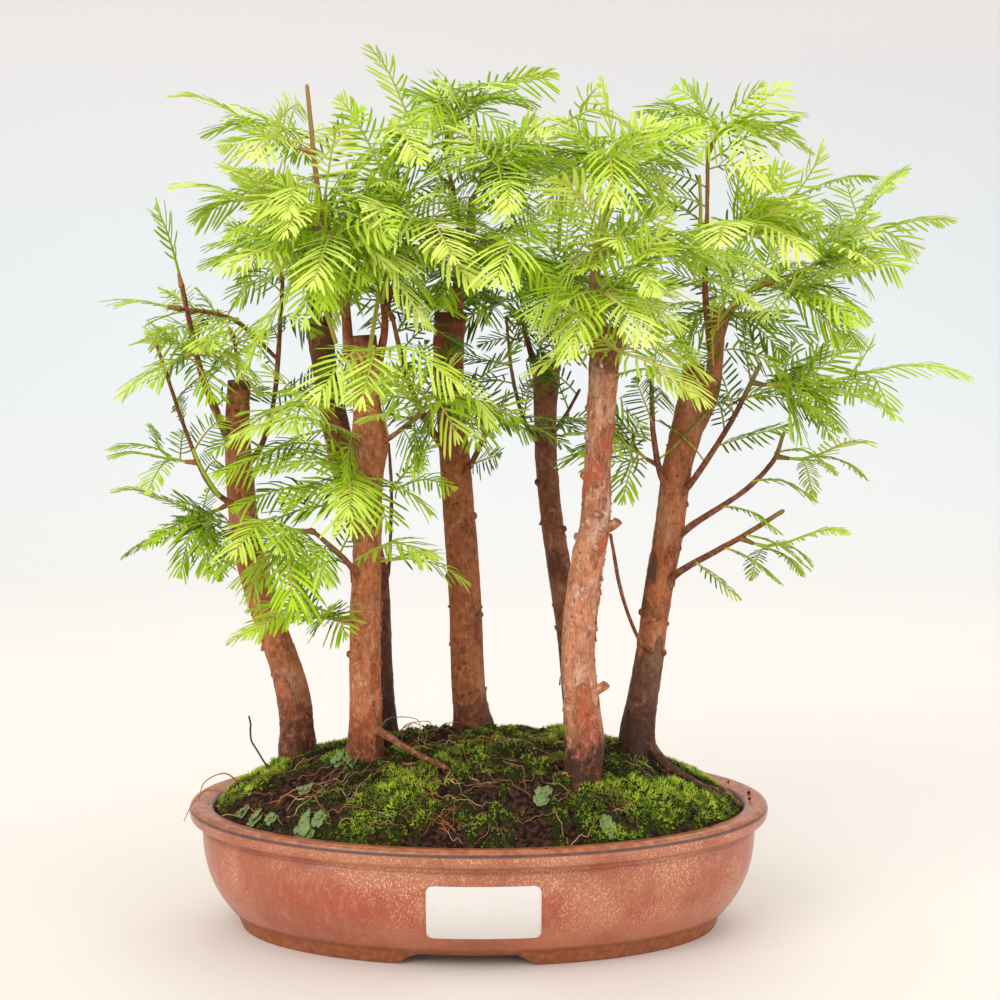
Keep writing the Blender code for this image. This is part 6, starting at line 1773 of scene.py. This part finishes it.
# The floor is plain and pale, and sweeps up behind the tray into a backdrop. Soft light comes
# from a large window of cloth at the upper left, a smaller one at the right, and all around.
def sweep():
    """A flat sheet that bends up behind through a quarter circle and goes on straight up."""
    bend = np.linspace(0, math.pi / 2, 24)
    y = np.concatenate([np.linspace(-2600, 900, 12), 900 + 900 * np.sin(bend[1:]), [1800]])
    z = np.concatenate([np.zeros(12), 900 - 900 * np.cos(bend[1:]), [3600]])
    x = np.linspace(-3200, 3200, 24)
    points = np.stack(np.broadcast_arrays(x, y[:, None], z[:, None]), -1)
    i, j = np.meshgrid(np.arange(len(y) - 1), np.arange(23), indexing="ij")
    a = (i * 24 + j).ravel()
    return points.reshape(-1, 3), np.stack([a, a + 1, a + 25, a + 24], -1)


pale = begun("pale_sweep")
split = pale.nodes.new("ShaderNodeSeparateXYZ")
pale.set(split.inputs["Vector"], pale.place)
shade = pale.mix(pale.span(split.outputs["Y"], 0.35, 1.75), (0.748, 0.686, 0.618), (0.648, 0.678, 0.682))
shade = pale.mix(pale.span(split.outputs["Z"], 0.20, 0.62), shade, (0.700, 0.674, 0.656))
pale_sweep = finished(pale, shade, 0.9)
points, faces = sweep()
mesh = bpy.data.meshes.new("floor")
mesh.from_pydata((points * MM + MIDDLE).tolist(), [], faces.tolist())
mesh.shade_smooth()
mesh.materials.append(pale_sweep)
floor = bpy.data.objects.new("floor", mesh)
bpy.context.scene.collection.objects.link(floor)


def window(name, place, aim, size, power, colour):
    """A square of soft light that faces a point."""
    light = bpy.data.lights.new(name, "AREA")
    light.shape = "RECTANGLE"
    light.size, light.size_y = size
    light.energy = power
    light.color = colour
    stand = bpy.data.objects.new(name, light)
    way = unit(np.array(place, float) - np.array(aim, float))
    right = unit(np.cross(UP, way))
    top = np.cross(way, right)
    spot = np.array(place) * MM + MIDDLE
    stand.matrix_world = Matrix([*np.stack([right, top, way, spot], -1).tolist(), (0, 0, 0, 1)])
    bpy.context.scene.collection.objects.link(stand)


window("window_left", (-900, -1100, 1300), (0, 0, 180), (1.1, 1.1), 14.0, (1.0, 0.985, 0.96))
window("window_right", (1200, -500, 900), (0, 0, 200), (0.9, 0.9), 4.0, (0.95, 0.98, 1.0))
window("window_behind", (200, 900, 1300), (0, 0, 250), (1.4, 0.8), 6.0, (1.0, 1.0, 1.0))
world = bpy.data.worlds.new("studio")
world.use_nodes = True
world.node_tree.nodes["Background"].inputs["Color"].default_value = (0.95, 0.97, 1.0, 1.0)
world.node_tree.nodes["Background"].inputs["Strength"].default_value = 1.12
bpy.context.scene.world = world
bpy.context.scene.view_settings.view_transform = "Standard"
